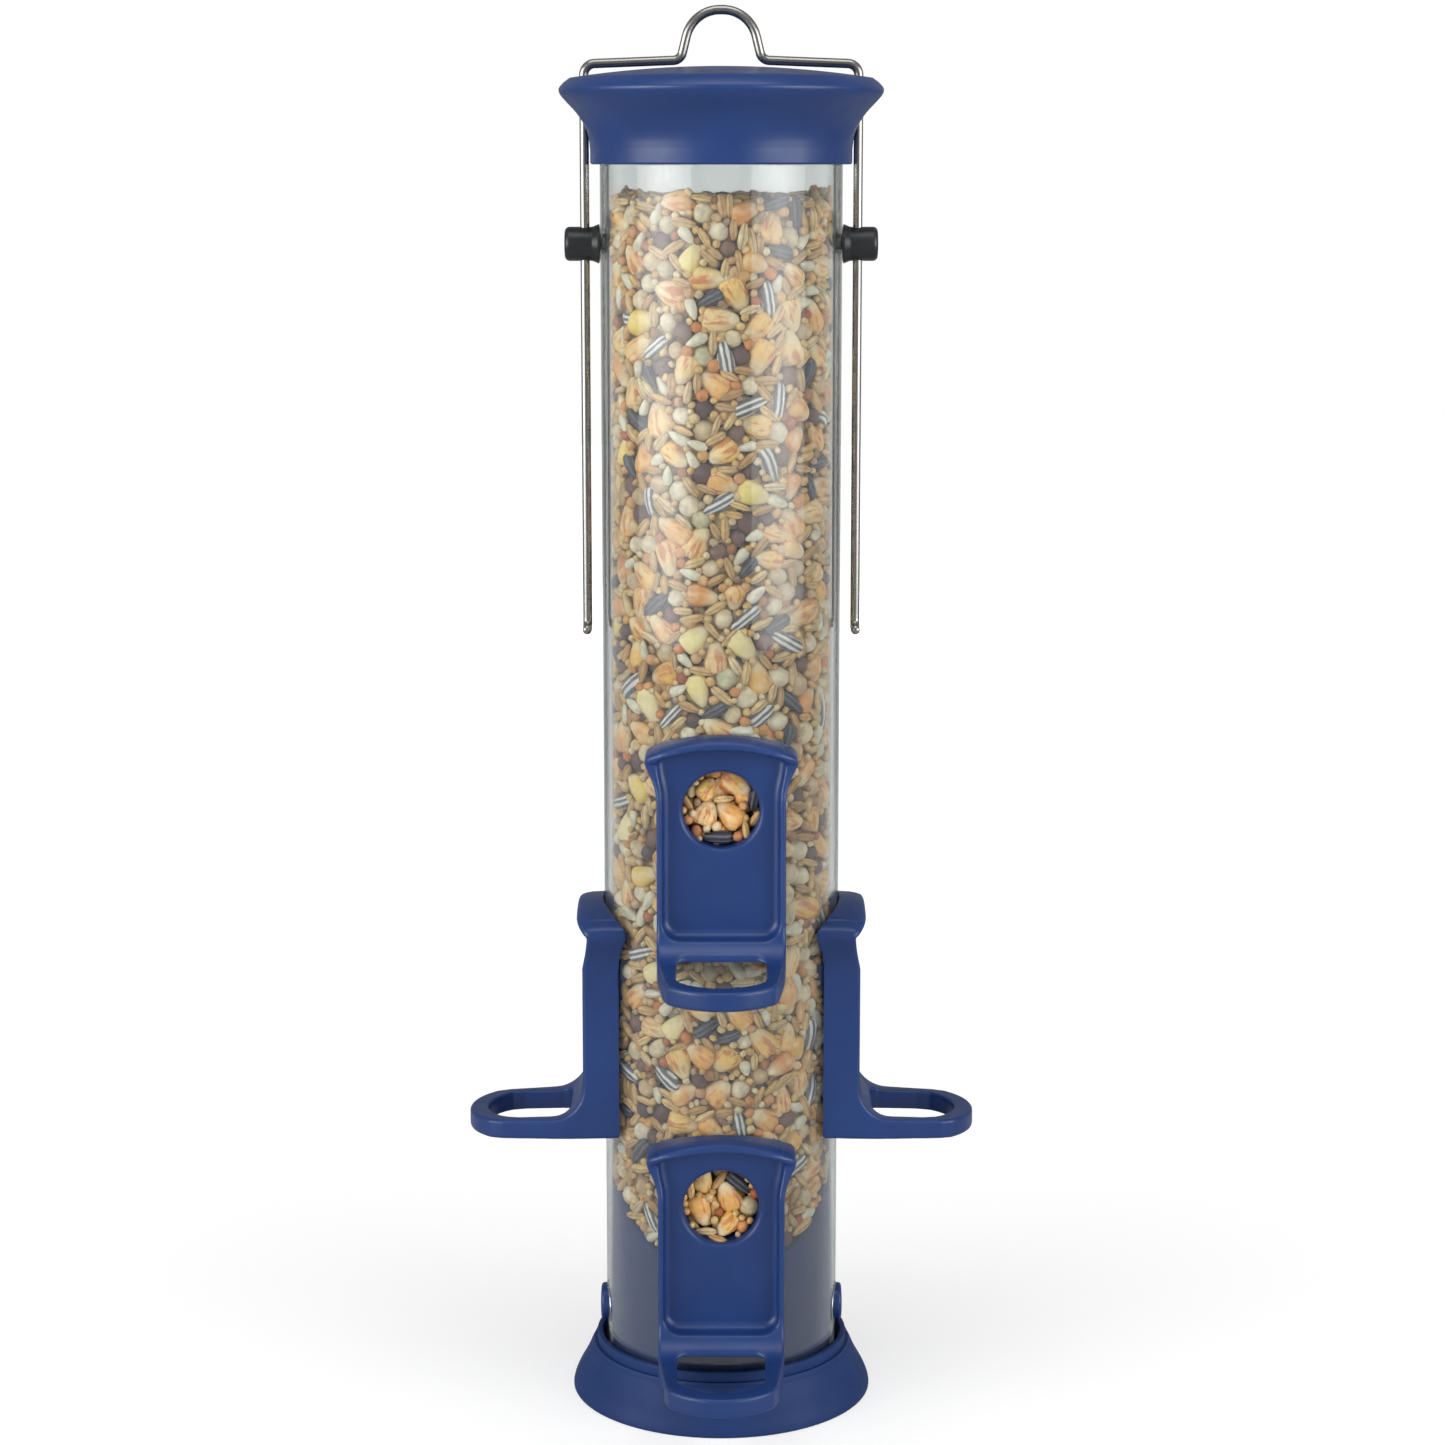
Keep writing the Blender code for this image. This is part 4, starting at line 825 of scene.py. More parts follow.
OPENING_CORNER = 3.2
SPIGOT_RADIUS = 11.8
SPIGOT_END = 25.0
SPIGOT_SINK = 0.3
HOLE_RADIUS = 10.3
CHAMFER = 0.8
CHAMFER_DEPTH = 1.6
PORT_EDGE = 0.8
EDGES = dict(
    arch=1.2, saddle=0.15, recess_top=1.6, recess_low=4.5, recess_floor=2.0, recess_rim=0.5, opening=0.7,
    hollow=0.4, hole=0.25, chamfer=0.15)
PORT_OVERRUN = 4.0
PORT_STEP = 0.4


# %% [markdown]
# ### The port's shape
# The side view, the plan and the front view each bound the solid, and what all three share is the port's
# block. The recess, the opening in the perch, the hollow under the sill, the hole and its chamfer are then
# taken out, and the spigot is added.

# %% Port views
def tip_outline(half, radius, start):
    """A shape seen from above, of which the right half is a start, a straight side and a round tip."""
    centre = PERCH_END - PERCH_TIP_RADIUS
    angle = math.degrees(math.acos(half / radius))
    side_end = centre + radius * math.sin(math.radians(angle)) - TIP_BLEND
    tip = arc_points((0, centre), radius, angle + math.degrees(TIP_BLEND / radius), 90, 14)
    right = np.vstack([start, [(half, side_end)], tip])
    return np.vstack([right, right[-2::-1] * (-1, 1)])


def side_distance(x, height, half, spread, shares):
    """The distance from a flared side, whose half width and slope change with the height.

    It is (|x| - width) / sqrt(1 + slope^2), which is true near the side.
    """
    curve = through(shares, 8)[::-1]
    curve = curve[np.argsort(curve[:, 0])]
    heights = np.linspace(PORT_BOTTOM - 5, PORT_TOP + 5, 600)
    widths = half + spread * np.interp((PORT_TOP - heights) / HOOD_FLARE, curve[:, 0], curve[:, 1])
    slopes = np.gradient(widths, heights)
    width, slope = np.interp(height, heights, widths), np.interp(height, heights, slopes)
    return (np.abs(x) - width) / np.sqrt(1 + slope ** 2)


def side_view():
    """The port's outline from the side, as (outward, up): lip, neck, face, sill and perch."""
    front = through([(LIP_REACH, LIP_LOW), *LIP_CURVE, NECK, NECK_CURVE, (PORT_FACE, NECK_END)], 4)
    sill = arc_points((PORT_FACE + SILL_RADIUS, PERCH_TOP + SILL_RADIUS), SILL_RADIUS, 180, 270, 16)
    high, far, low = PORT_TOP + PORT_OVERRUN, PERCH_END + PORT_OVERRUN, PORT_BOTTOM + PERCH_FALL
    return np.vstack([
        [(PORT_BACK, high), (LIP_REACH, high)], front, sill,
        [(far, PERCH_TOP - PERCH_FALL), (far, PORT_BOTTOM), (TUBE_OUTER, low), (PORT_BACK, low)]])


# %% Port field
def port_block(x, out, up, arch):
    """What the side view, the plan and the front view share, with the hood's top falling towards the lip."""
    body = outline_distance(side_view(), out[0], up[0])[None]
    wide = PORT_HALF + HOOD_SPREAD + PORT_OVERRUN
    hood = [(wide, PORT_BACK - PORT_OVERRUN), (wide, HOOD_FRONT), (PORT_HALF + 0.4, HOOD_FRONT)]
    plan = tip_outline(PERCH_HALF, PERCH_TIP_RADIUS, hood)
    body = meet(body, outline_distance(plan, x[:, :, 0], out[:, :, 0])[:, :, None], PORT_EDGE)
    lip = LIP_REACH - HOOD_BOW * (np.abs(x) / (PORT_HALF + HOOD_SPREAD)) ** HOOD_BOW_POWER
    drop = EDGE_DROP * np.interp((out - TUBE_OUTER) / (lip - TUBE_OUTER), *EDGE_DROP_SHARES)
    widest = PORT_TOP - HOOD_FLARE * HOOD_WIDEST_SHARE
    raised = up + drop * np.clip((up - widest) / (PORT_TOP - ARCH_DROP - widest), 0, 1)
    flank = side_distance(x, raised, PORT_HALF, HOOD_SPREAD, HOOD_SIDE_SHARES)
    body = meet(body, meet(flank, raised - (PORT_TOP - arch), EDGES["arch"]), PORT_EDGE)
    return meet(body, np.minimum(out - lip, up - (NECK[1] - 0.4)), PORT_EDGE)


def port_field(x, out, up):
    """The port's distance field over its grid of across, outward and upward coordinates."""
    arch = ARCH_DROP * (x / PORT_HALF) ** 2
    body = port_block(x, out, up, arch)
    body = meet(body, TUBE_OUTER + SEAT_GAP - np.hypot(x, out), EDGES["saddle"])
    recess = side_distance(x, up, RECESS_HALF, RECESS_SPREAD, RECESS_SIDE_SHARES)
    recess = meet(recess, up - (RECESS_TOP - arch), EDGES["recess_top"])
    recess = meet(recess, RECESS_LOW - up, EDGES["recess_low"])
    recess = meet(recess, PORT_FLOOR - out, EDGES["recess_floor"])
    body = meet(body, -recess, EDGES["recess_rim"])

    middle = (OPENING_HALF - OPENING_CORNER, OPENING_BACK + OPENING_CORNER)
    corner = arc_points(middle, OPENING_CORNER, -90, 0, 8)
    opening = tip_outline(OPENING_HALF, PERCH_TIP_RADIUS - PERCH_BAR, corner)
    opening = outline_distance(opening, x[:, :, 0], out[:, :, 0])[:, :, None]
    body = meet(body, -np.maximum(opening, up - OPENING_TOP), EDGES["opening"])
    hollow = shared(np.abs(x) - OPENING_HALF, up - PERCH_TOP, out - OPENING_BACK - OPENING_CORNER)
    body = meet(body, -hollow, EDGES["hollow"])

    reach = np.hypot(x, up)
    spigot = shared(reach - SPIGOT_RADIUS, SPIGOT_END - out, out - PORT_FLOOR + SPIGOT_SINK)
    body = meet(np.minimum(body, spigot), HOLE_RADIUS - reach, EDGES["hole"])
    cone = (reach - (HOLE_RADIUS - CHAMFER + out - (PORT_FLOOR - CHAMFER_DEPTH))) / math.sqrt(2)
    return meet(body, -np.maximum(cone, out - PORT_FLOOR - 1), EDGES["chamfer"])


# %% [markdown]
# ### Six ports from one
# All six ports come out of the same mould, so the surface is worked out once. Its points are then turned to
# each side and lifted to each height, which is quicker than six fields and keeps the six alike.

# %% Ports
ROUND_ANGLE = math.radians(50)
wide = PORT_HALF + HOOD_SPREAD
port_points, port_quads = field_surface(
    port_field, (-wide, SPIGOT_END, PORT_BOTTOM), (wide, PERCH_END, PORT_TOP), PORT_STEP)
for row, side in PORTS:
    placed = facing(port_points, PORT_TURNS[side]) + (0, 0, HOLE_HEIGHTS[row])
    mesh = make_mesh(f"feeding_port_{row}_{side}", placed, port_quads)
    show(closed(mesh), "feeder", BLUE, [f"port_{row}_{side}"], smooth_to=ROUND_ANGLE)

# %% [markdown]
# ## The base
# The foot is a turned moulding: a short collar round the tube, a step, and a flared skirt. Its floor has
# drain holes, a boss for the screw and two pockets for the spring arms. A hollow plug with a two-way roof,
# the seed deflector, is screwed onto it, and two spring arms press their round buttons out through the
# tube's wall.

# %% Foot
FOOT_TOP = 16.4
COLLAR = (33.7, 35.3)
COLLAR_BAND = 2.8
STEP_WIDTH = 0.9
FOOT_FLARE = 5.9
FOOT_WALL = 2.0
RIM_EDGE = 0.4
FLOOR = (2.0, 4.0)
BOSS = (8.0, 6.6)
UNDER_COLLAR = 9.25
SCREW_BORE = 1.9
SCREW_RECESS = (4.6, 4.6)
FOOT_FLARE_SHARES = [
    (0.0, 1.0), (0.04, 0.95), (0.14, 0.88), (0.31, 0.71), (0.51, 0.54), (0.76, 0.35), (0.93, 0.18),
    (1.0, 0.06)]
DRAIN_ANGLES = range(30, 360, 60)
DRAIN_RADIUS = 2.0
DRAIN_CIRCLE = 15.86
HINGE = (26.24, 5.8)
ARM_WIDTH = 9.0
POCKET_INWARD = 1.8
POCKET_OUTWARD = 0.75
POCKET_GAP = 0.3
RIB_WALL = 1.2
RIB_HEIGHTS = (3.0, 6.2)
FOOT_CUT_TOP = 9.0


def foot_shell():
    """The foot's section turned about the axis: boss, floor, collar, flare, rim and the hollow below."""
    band_low = FOOT_TOP - COLLAR_BAND
    step = COLLAR[1] + STEP_WIDTH
    outer, inner = step + FOOT_FLARE, step + FOOT_FLARE - FOOT_WALL
    flare = through(np.array(FOOT_FLARE_SHARES) * (FOOT_FLARE, band_low) + (step, 0), 5)
    upper = rounded([
        (SCREW_BORE, BOSS[1], 0), (BOSS[0], BOSS[1], 0.5), (BOSS[0] + 0.6, FLOOR[1], 0.8),
        (COLLAR[0], FLOOR[1], 0.8), (COLLAR[0], FOOT_TOP, 0.4), (COLLAR[1], FOOT_TOP, 0.5),
        (COLLAR[1], band_low, 0), (step, band_low, 0)])[:-1]
    rim = rounded([(outer, 1, 0), (outer, 0, RIM_EDGE), (inner, 0, RIM_EDGE), (inner, 1, 0)])[1:-1]
    hollow = flare[::-4][1:-4] - (FOOT_WALL, 0.4)
    hollow = hollow[(hollow[:, 0] > COLLAR[1] + 0.2) & (hollow[:, 1] > 0.5)]
    under = [
        (COLLAR[1], UNDER_COLLAR), (COLLAR[1], FLOOR[0]), (SCREW_RECESS[0], FLOOR[0]), SCREW_RECESS,
        (SCREW_BORE, SCREW_RECESS[1])]
    return turned("flared_foot", np.vstack([upper, flare, rim, hollow, under]))


def foot_mesh():
    """The foot's shell, less its drain holes, with the arms' pockets added."""
    holes = []
    for angle in map(math.radians, DRAIN_ANGLES):
        offset = (DRAIN_CIRCLE * math.cos(angle), DRAIN_CIRCLE * math.sin(angle))
        holes.append(rod(DRAIN_RADIUS, 0, FOOT_CUT_TOP, offset=offset, steps=24))
    near, far, half = HINGE[0] - POCKET_INWARD, HINGE[0] + POCKET_OUTWARD, ARM_WIDTH / 2 + POCKET_GAP
    low, high = RIB_HEIGHTS
    ribs = []
    for sign in SIGNS.values():
        rib = block((sign * (near - RIB_WALL), -half - RIB_WALL, low), (sign * far, half + RIB_WALL, high))
        ribs.append(carved(rib, [block((sign * near, -half, 0), (sign * (far + 4), half, FOOT_CUT_TOP))]))
    return carved(carved(foot_shell(), holes), ribs, "UNION")


# The foot's finish is the duller copy, whose darker colour is painted shade.
show(foot_mesh(), "base", DULL_SHADED_BLUE, ["base_foot"])

# %% [markdown]
# The deflector and the arms are distance fields again, because their roofs, windows and buttons run into
# round walls. The roof's two slopes send the last seed to the lower ports instead of leaving it on a flat
# floor.

# %% Deflector
DEFLECTOR_RADIUS = 30.2
DEFLECTOR_WALL = 1.8
DEFLECTOR_LOW = 4.3
RIDGE = 67.5
EAVE = 44.0
ROOF_SHARES = [(1.0, 0.0), (0.82, 0.145), (0.69, 0.27), (0.52, 0.46), (0.37, 0.65), (0.10, 0.98)]
ROOF_COSINE = 0.75
ROOF_EDGE = 0.5
SHELL_EDGE = 0.2
WINDOW_NEAR = 15.0
WINDOW_GAP = 0.3
WINDOW_EDGE = 0.3
POST_RADIUS = 4.2
POST_LOW = 6.9
PILOT = (1.9, 19.9)
DEFLECTOR_STEP = 0.6


def roof_height(across):
    """The roof's height over a distance from the ridge's plane."""
    curve = through([(1.1, -0.08), *ROOF_SHARES, (0.0, 1.0)], 6)[::-1]
    return EAVE + (RIDGE - EAVE) * np.interp(np.abs(across) / DEFLECTOR_RADIUS, curve[:, 0], curve[:, 1])


def deflector_field(x, y, z):
    """A capped shell: round wall and roof, less the same moved in by the wall, with windows and a screw post.

    The height over the roof is shrunk by the cosine of its slope, which makes it nearly a distance.
    """
    radius = np.hypot(x, y)
    roof = (z - roof_height(y)) * ROOF_COSINE
    outside = meet(meet(radius - DEFLECTOR_RADIUS, roof, ROOF_EDGE), DEFLECTOR_LOW - z, SHELL_EDGE)
    hollow = shared(radius - DEFLECTOR_RADIUS + DEFLECTOR_WALL, roof + DEFLECTOR_WALL * ROOF_COSINE)
    shell = meet(outside, -hollow, SHELL_EDGE)
    half = LATCH_HOLE_RADIUS
    window = shared(
        np.abs(y) - half, np.abs(z - LATCH_HEIGHT) - half - WINDOW_GAP, WINDOW_NEAR - np.abs(x))
    shell = meet(shell, -window, WINDOW_EDGE)
    post = shared(radius - POST_RADIUS, POST_LOW - z, roof + 1)
    pilot = np.maximum(radius - PILOT[0], z - PILOT[1])
    return meet(np.minimum(shell, post), -pilot, SHELL_EDGE)


def deflector_mesh():
    """The surface of the deflector's field, in the box of its round wall and its ridge."""
    low = (-DEFLECTOR_RADIUS, -DEFLECTOR_RADIUS, DEFLECTOR_LOW)
    high = (DEFLECTOR_RADIUS, DEFLECTOR_RADIUS, RIDGE)
    return closed(make_mesh("roofed_deflector", *field_surface(deflector_field, low, high, DEFLECTOR_STEP)))


# The deflector's finish is the duller copy, whose darker colour is painted shade.
show(deflector_mesh(), "base", DULL_SHADED_BLUE, ["seed_deflector"], smooth_to=ROUND_ANGLE)

# %% [markdown]
# ### Spring arms
# Each latch is a thin springy blade that is rooted in the foot and carries a round button. The button snaps
# into the tube's hole, and a push on both lets the base drop. Blade, root and button could be joined by
# Booleans, but where a soft-edged button grows out of a thin blade, one distance field for all three is
# simpler.

# %% Arms
ARM_THICK = 1.6
ARM_TOP = 29.5
ARM_EDGE = 0.3
ROOT_RADIUS = 1.5
BUTTON_RADIUS = 5.2
BUTTON_FACE = 34.3
BUTTON_DOME = 0.25
BUTTON_EDGE = 0.8
ARM_STEP = 0.3


def arm_field(out, across, up):
    """A blade with a round root and a round button with a softened, slightly domed face."""
    side = np.abs(across) - ARM_WIDTH / 2
    blade = shared(np.abs(out - HINGE[0]) - ARM_THICK / 2, HINGE[1] - up, up - ARM_TOP)
    blade = meet(blade, side, ARM_EDGE)
    root = np.maximum(np.hypot(out - HINGE[0], up - HINGE[1]) - ROOT_RADIUS, side)
    reach = np.hypot(across, up - LATCH_HEIGHT)
    face = BUTTON_FACE - BUTTON_DOME * (reach / BUTTON_RADIUS) ** 2
    button = np.maximum(meet(reach - BUTTON_RADIUS, out - face, BUTTON_EDGE), HINGE[0] - out)
    return np.minimum(np.minimum(blade, root), button)


def arm_mesh(side):
    """The surface of the arm's field on the right, or mirrored on the left."""
    low = (HINGE[0] - 2, -BUTTON_RADIUS, HINGE[1] - 2)
    points, quads = field_surface(arm_field, low, (BUTTON_FACE, BUTTON_RADIUS, ARM_TOP), ARM_STEP)
    return closed(make_mesh(f"spring_arm_{side}", points * (SIGNS[side], 1, 1), quads))


for side in SIGNS:
    show(arm_mesh(side), f"latch_{side}", BLUE, [f"latch_arm_{side}"], ROUND_ANGLE)

# %% [markdown]
# ### The screw, the baffles and the retainers
# The screw that joins foot and deflector is turned from its section, with a pan head and a socket. The
# baffles behind the ports and the retainers on the guides' stems could get new shapes too. They are hidden
# among the seed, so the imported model's own shapes are good enough there, and they only get a real finish.

# %% Screw and inner parts
SHANK_RADIUS = 1.6
SHANK_END = 19.3
HEAD_RADIUS = 3.4
HEAD_TOP = 4.3
HEAD_LOW = 2.5
SOCKET = (1.2, 3.4)

screw_outline = rounded([
    (0, SHANK_END, 0), (SHANK_RADIUS / 2, SHANK_END, 0), (SHANK_RADIUS, SHANK_END - SHANK_RADIUS, 0),
    (SHANK_RADIUS, HEAD_TOP, 0.1), (HEAD_RADIUS, HEAD_TOP, 0.2), (HEAD_RADIUS, HEAD_TOP - 1, 0.6),
    (2.7, HEAD_LOW, 0.4), (1.4, HEAD_LOW, 0.1), (*SOCKET, 0), (0, SOCKET[1], 0)])
show(turned("pan_screw", screw_outline, 48), "base", ZINC, ["base_screw"])

for row, side in PORTS:
    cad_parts[f"baffle_{row}_{side}"].data.materials[0] = BLUE
for side in SIGNS:
    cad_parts[f"guide_retainer_{side}"].data.materials[0] = SPRING

# %% [markdown]
# ## The seed mix
# The mix holds maize, striped and black sunflower seeds, peas, dark vetch, oats and wheat, white safflower,
# and two sizes of millet. One kind is one piece. A seed is a surface of two parameters: u runs from one tip
# to the other and v runs round. The tips differ by a taper, and a power makes the middle fuller or slimmer.

# %% Seed shapes
SEED_WALL = TUBE_INNER - 0.15
SEED_KINDS = {
    "maize": dict(size=(9.0, 7.1, 4.4), taper=0.42, power=0.66, rings=7, around=10),
    "striped_sunflower": dict(size=(10.2, 4.7, 3.0), taper=0.40, power=0.86, rings=6, around=8),
    "black_sunflower": dict(size=(8.4, 4.1, 2.9), taper=0.40, power=0.86, rings=6, around=8),
    "pea": dict(size=(5.9, 5.7, 5.4), taper=0.0, power=1.0, rings=5, around=9),
    "vetch": dict(size=(5.4, 5.1, 4.7), taper=0.0, power=0.9, rings=5, around=9),
    "safflower": dict(size=(6.2, 3.4, 2.6), taper=0.40, power=0.86, rings=5, around=7),
    "oat": dict(size=(6.6, 2.5, 2.1), taper=0.12, power=0.92, rings=5, around=7),
    "millet": dict(size=(3.2, 3.1, 2.8), taper=0.0, power=1.0, rings=4, around=7),
    "small_millet": dict(size=(2.3, 2.2, 2.0), taper=0.0, power=1.0, rings=3, around=6),
}


def seed_template(kind):
    """A seed with half sizes of 1: (cos u, s cos v, s sin v), with s = sin(u)^power exp(taper cos u).

    The faces are triangles at the tips and quads between them, all turned outwards.
    """
    facts = SEED_KINDS[kind]
    rings, around = facts["rings"], facts["around"]
    u = math.pi * np.arange(1, rings + 1) / (rings + 1)
    v = 2 * math.pi * np.arange(around) / around
    s = np.sin(u) ** facts["power"] * np.exp(facts["taper"] * np.cos(u))
    s = s / s.max()
    middle = np.stack([
        np.repeat(np.cos(u), around), np.outer(s, np.cos(v)).ravel(), np.outer(s, np.sin(v)).ravel()], axis=1)
    points = np.vstack([middle, [(1, 0, 0), (-1, 0, 0)]])
    ring = np.arange(around)
    after = (ring + 1) % around
    quads = grid_faces(rings, around)[:, ::-1]
    first = np.stack([np.full(around, rings * around), ring, after], axis=1)
    base = (rings - 1) * around
    last = np.stack([np.full(around, rings * around + 1), base + after, base + ring], axis=1)
    return points, quads, np.vstack([first, last])


# %% [markdown]
# ## Scattering the seed
# Seeds that lie against a wall hardly overlap, and small ones fill the gaps between large ones. So the wall
# is unrolled into a sheet of small cells, and each kind in turn, from the largest to the smallest, is
# dropped at random places and kept only where its footprint is free. The same routine fills the flat
# patches: the top of the heap, the slopes over the deflector, and the round window of each port.

# %% Scatter
CELL = 0.25
SPINS = 18
SIZES = (0.88, 1.0, 1.1)
OVERLAP = 0.84
ROUNDS = 8
TRIES = 3
dice = np.random.default_rng(20)


def footprint(kind, spin, scale):
    """The cells under a seed that lies at the origin, as offsets in rows and columns."""
    length, width, _ = SEED_KINDS[kind]["size"]
    half = int(length * scale / 2 / CELL) + 2
    row, column = np.mgrid[-half:half + 1, -half:half + 1] * CELL
    along = column * math.cos(spin) + row * math.sin(spin)
    across = row * math.cos(spin) - column * math.sin(spin)
    inside = (2 * along / length) ** 2 + (2 * across / width) ** 2 < (scale * OVERLAP) ** 2
    return np.argwhere(inside) - half


def scatter(free, counts, wrap):
    """Rows (row, column, spin, scale) for each kind. free is True where a cell may be covered."""
    free = free.copy()
    rows, columns = free.shape
    found = {}
    for kind, count in counts.items():
        prints = {}
        kept = []
        for _ in range(ROUNDS):
            spots = np.flatnonzero(free)
            if len(kept) >= count or len(spots) == 0:
                break
            for spot in dice.choice(spots, min(len(spots), count * TRIES), replace=False):
                if len(kept) >= count:
                    break
                turn, size = int(dice.integers(SPINS)), int(dice.integers(len(SIZES)))
                if (turn, size) not in prints:
                    prints[turn, size] = footprint(kind, math.pi * turn / SPINS, SIZES[size])
                cells = prints[turn, size] + divmod(int(spot), columns)
                if wrap:
                    cells[:, 1] %= columns
                if cells.min() < 0 or cells[:, 0].max() >= rows or cells[:, 1].max() >= columns:
                    continue
                if free[cells[:, 0], cells[:, 1]].all():
                    free[cells[:, 0], cells[:, 1]] = False
                    flip = math.pi * int(dice.integers(2))
                    kept.append((*divmod(int(spot), columns), math.pi * turn / SPINS + flip, SIZES[size]))
        found[kind] = np.array(kept).reshape(-1, 4)
    return found


# %% [markdown]
# A seed that has its place gets three directions: along it, across it, and through it. The third points out
# of the heap, with a little random tilt. All the seeds of a kind are then one product of arrays, and any
# that would stick through the tube's wall is drawn in by as much.

# %% Placing
SIZE_SPREAD = 0.06
seed_parts = {kind: [] for kind in SEED_KINDS}


def lay(kind, centre, normal, east, spin, scale, tilt, wall=True):
    """Lay seeds at centres on a surface with normals, each with its outer side at the centre."""
    template, _, _ = seed_template(kind)
    north = np.cross(normal, east)
    along = east * np.cos(spin)[:, None] + north * np.sin(spin)[:, None]
    lean = np.radians(dice.normal(0, tilt, (2, len(centre))))
    along = unit(along + normal * np.tan(lean[0])[:, None])
    across = np.cross(normal, along) + normal * np.tan(lean[1])[:, None]
    across = unit(across - along * (across * along).sum(axis=1)[:, None])
    deep = np.cross(along, across)
    half = np.array(SEED_KINDS[kind]["size"]) / 2 * scale[:, None]
    half = half * dice.normal(1, SIZE_SPREAD, (len(centre), 3))
    centre = centre - normal * half[:, 2:]
    frames = np.stack([along, across, deep], axis=1) * half[:, :, None]
    points = centre[:, None] + np.einsum("vk,nkc->nvc", template, frames)
    if wall:
        reach = np.hypot(points[..., 0], points[..., 1]).max(axis=1)
        inward = -centre * (1, 1, 0) / np.maximum(np.hypot(centre[:, 0], centre[:, 1]), 1)[:, None]
        points += (inward * np.maximum(reach - SEED_WALL, 0)[:, None])[:, None]
    seed_parts[kind].append(points)


# %% [markdown]
# ### Against the wall
# The heap reaches from the deflector's roof to about three centimetres below the cap, with an uneven top.
# Nothing is laid where a port's spigot and baffle stand, or right behind a port. A second layer behind the
# first one fills what shows through its gaps.

# %% Seed on the wall
HEAP_TOP = 335.0
HEAP_FALL = 5.0
WALL_ROWS = int((HEAP_TOP + 4 - EAVE) / CELL)
WALL_COLUMNS = int(2 * math.pi * SEED_WALL / CELL)
BAFFLE_RADIUS = 14.2
BEHIND_PORT = (10, -36, 14)
ROOF_GAP = 0.8
WALL_COUNTS = {
    "maize": 310, "striped_sunflower": 66, "pea": 230, "vetch": 105, "black_sunflower": 75, "safflower": 190,
    "oat": 1350, "millet": 900, "small_millet": 2600}
BACK_COUNTS = {"maize": 260, "pea": 260, "vetch": 60, "oat": 1000, "millet": 700}


def heap_top(angle):
    """The heap's height at the wall, which varies round the tube and slopes down in its back half."""
    waves = 0.9 * np.sin(3 * angle + 0.6) + 0.8 * np.sin(7 * angle + 2.0)
    return HEAP_TOP + waves - HEAP_FALL * np.maximum(np.sin(angle), 0)


def wall_free():
    """The cells of the unrolled wall that seed may cover."""
    height = EAVE + CELL * (np.arange(WALL_ROWS)[:, None] + 0.5)
    angle = 2 * math.pi * (np.arange(WALL_COLUMNS)[None, :] + 0.5) / WALL_COLUMNS
    free = (height < heap_top(angle)) & (height > roof_height(SEED_WALL * np.sin(angle)) + ROOF_GAP)
    half, low, high = BEHIND_PORT
    for row, side in PORTS:
        middle = math.radians(PORT_TURNS[side] - 90)
        across = SEED_WALL * ((angle - middle + math.pi) % (2 * math.pi) - math.pi)
        up = height - HOLE_HEIGHTS[row]
        free &= np.hypot(across, up) > BAFFLE_RADIUS
        free &= ~((np.abs(across) < half) & (up > low) & (up < high))
    return free


def lay_on_wall(counts, depth, spread, tilt):
    """Scatter a layer on the unrolled wall and roll it up, from a depth inwards by up to a spread."""
    for kind, rows in scatter(wall_free(), counts, wrap=True).items():
        angle = 2 * math.pi * (rows[:, 1] + 0.5) / WALL_COLUMNS
        height = EAVE + CELL * (rows[:, 0] + 0.5)
        normal = np.stack([np.cos(angle), np.sin(angle), 0 * angle], axis=1)
        east = np.stack([-np.sin(angle), np.cos(angle), 0 * angle], axis=1)
        inward = SEED_WALL - depth - spread * dice.random(len(rows))
        centre = normal * inward[:, None] + np.stack([0 * angle, 0 * angle, height], axis=1)
        lay(kind, centre, normal, east, rows[:, 2], rows[:, 3], tilt)


lay_on_wall(WALL_COUNTS, depth=0.0, spread=0.5, tilt=7)
lay_on_wall(BACK_COUNTS, depth=2.6, spread=1.2, tilt=18)

# %% [markdown]
# ### In the ports, on top and underneath
# Behind each port's hole the seed lies in a sloping face. The top of the heap and its two undersides over
# the deflector are flat patches seen only from a steep angle or with the cap lifted or the base drawn down.

# %% Seed in the windows and on the flat faces
WINDOW_COUNTS = {
    "maize": 4, "black_sunflower": 2, "striped_sunflower": 1, "pea": 1, "safflower": 1, "oat": 9,
    "millet": 14, "small_millet": 40}
WINDOW_BACK_COUNTS = {"maize": 4, "pea": 3, "oat": 12, "millet": 12, "small_millet": 20}
WINDOW_RADIUS = 11.0
WINDOW_LEAN = 0.16
WINDOW_DEPTH = 0.4
PATCH_COUNTS = {
    "maize": 14, "striped_sunflower": 4, "pea": 10, "vetch": 5, "black_sunflower": 4, "safflower": 8,
    "oat": 80, "millet": 60, "small_millet": 120}


def lay_patch(radius, counts, centre_of, normal, east, tilt, wall=True):
    """Scatter on a round patch and lay each seed at the centre that goes with its place (across, up)."""
    steps = int(2 * radius / CELL)
    place = (np.arange(steps) + 0.5) * CELL - radius
    free = np.hypot(place[:, None], place[None, :]) < radius
    for kind, rows in scatter(free, counts, wrap=False).items():
        centre = centre_of(place[rows[:, 1].astype(int)], place[rows[:, 0].astype(int)])
        ways = (np.tile(way, (len(rows), 1)) for way in (normal, east))
        lay(kind, centre, *ways, rows[:, 2], rows[:, 3], tilt, wall)


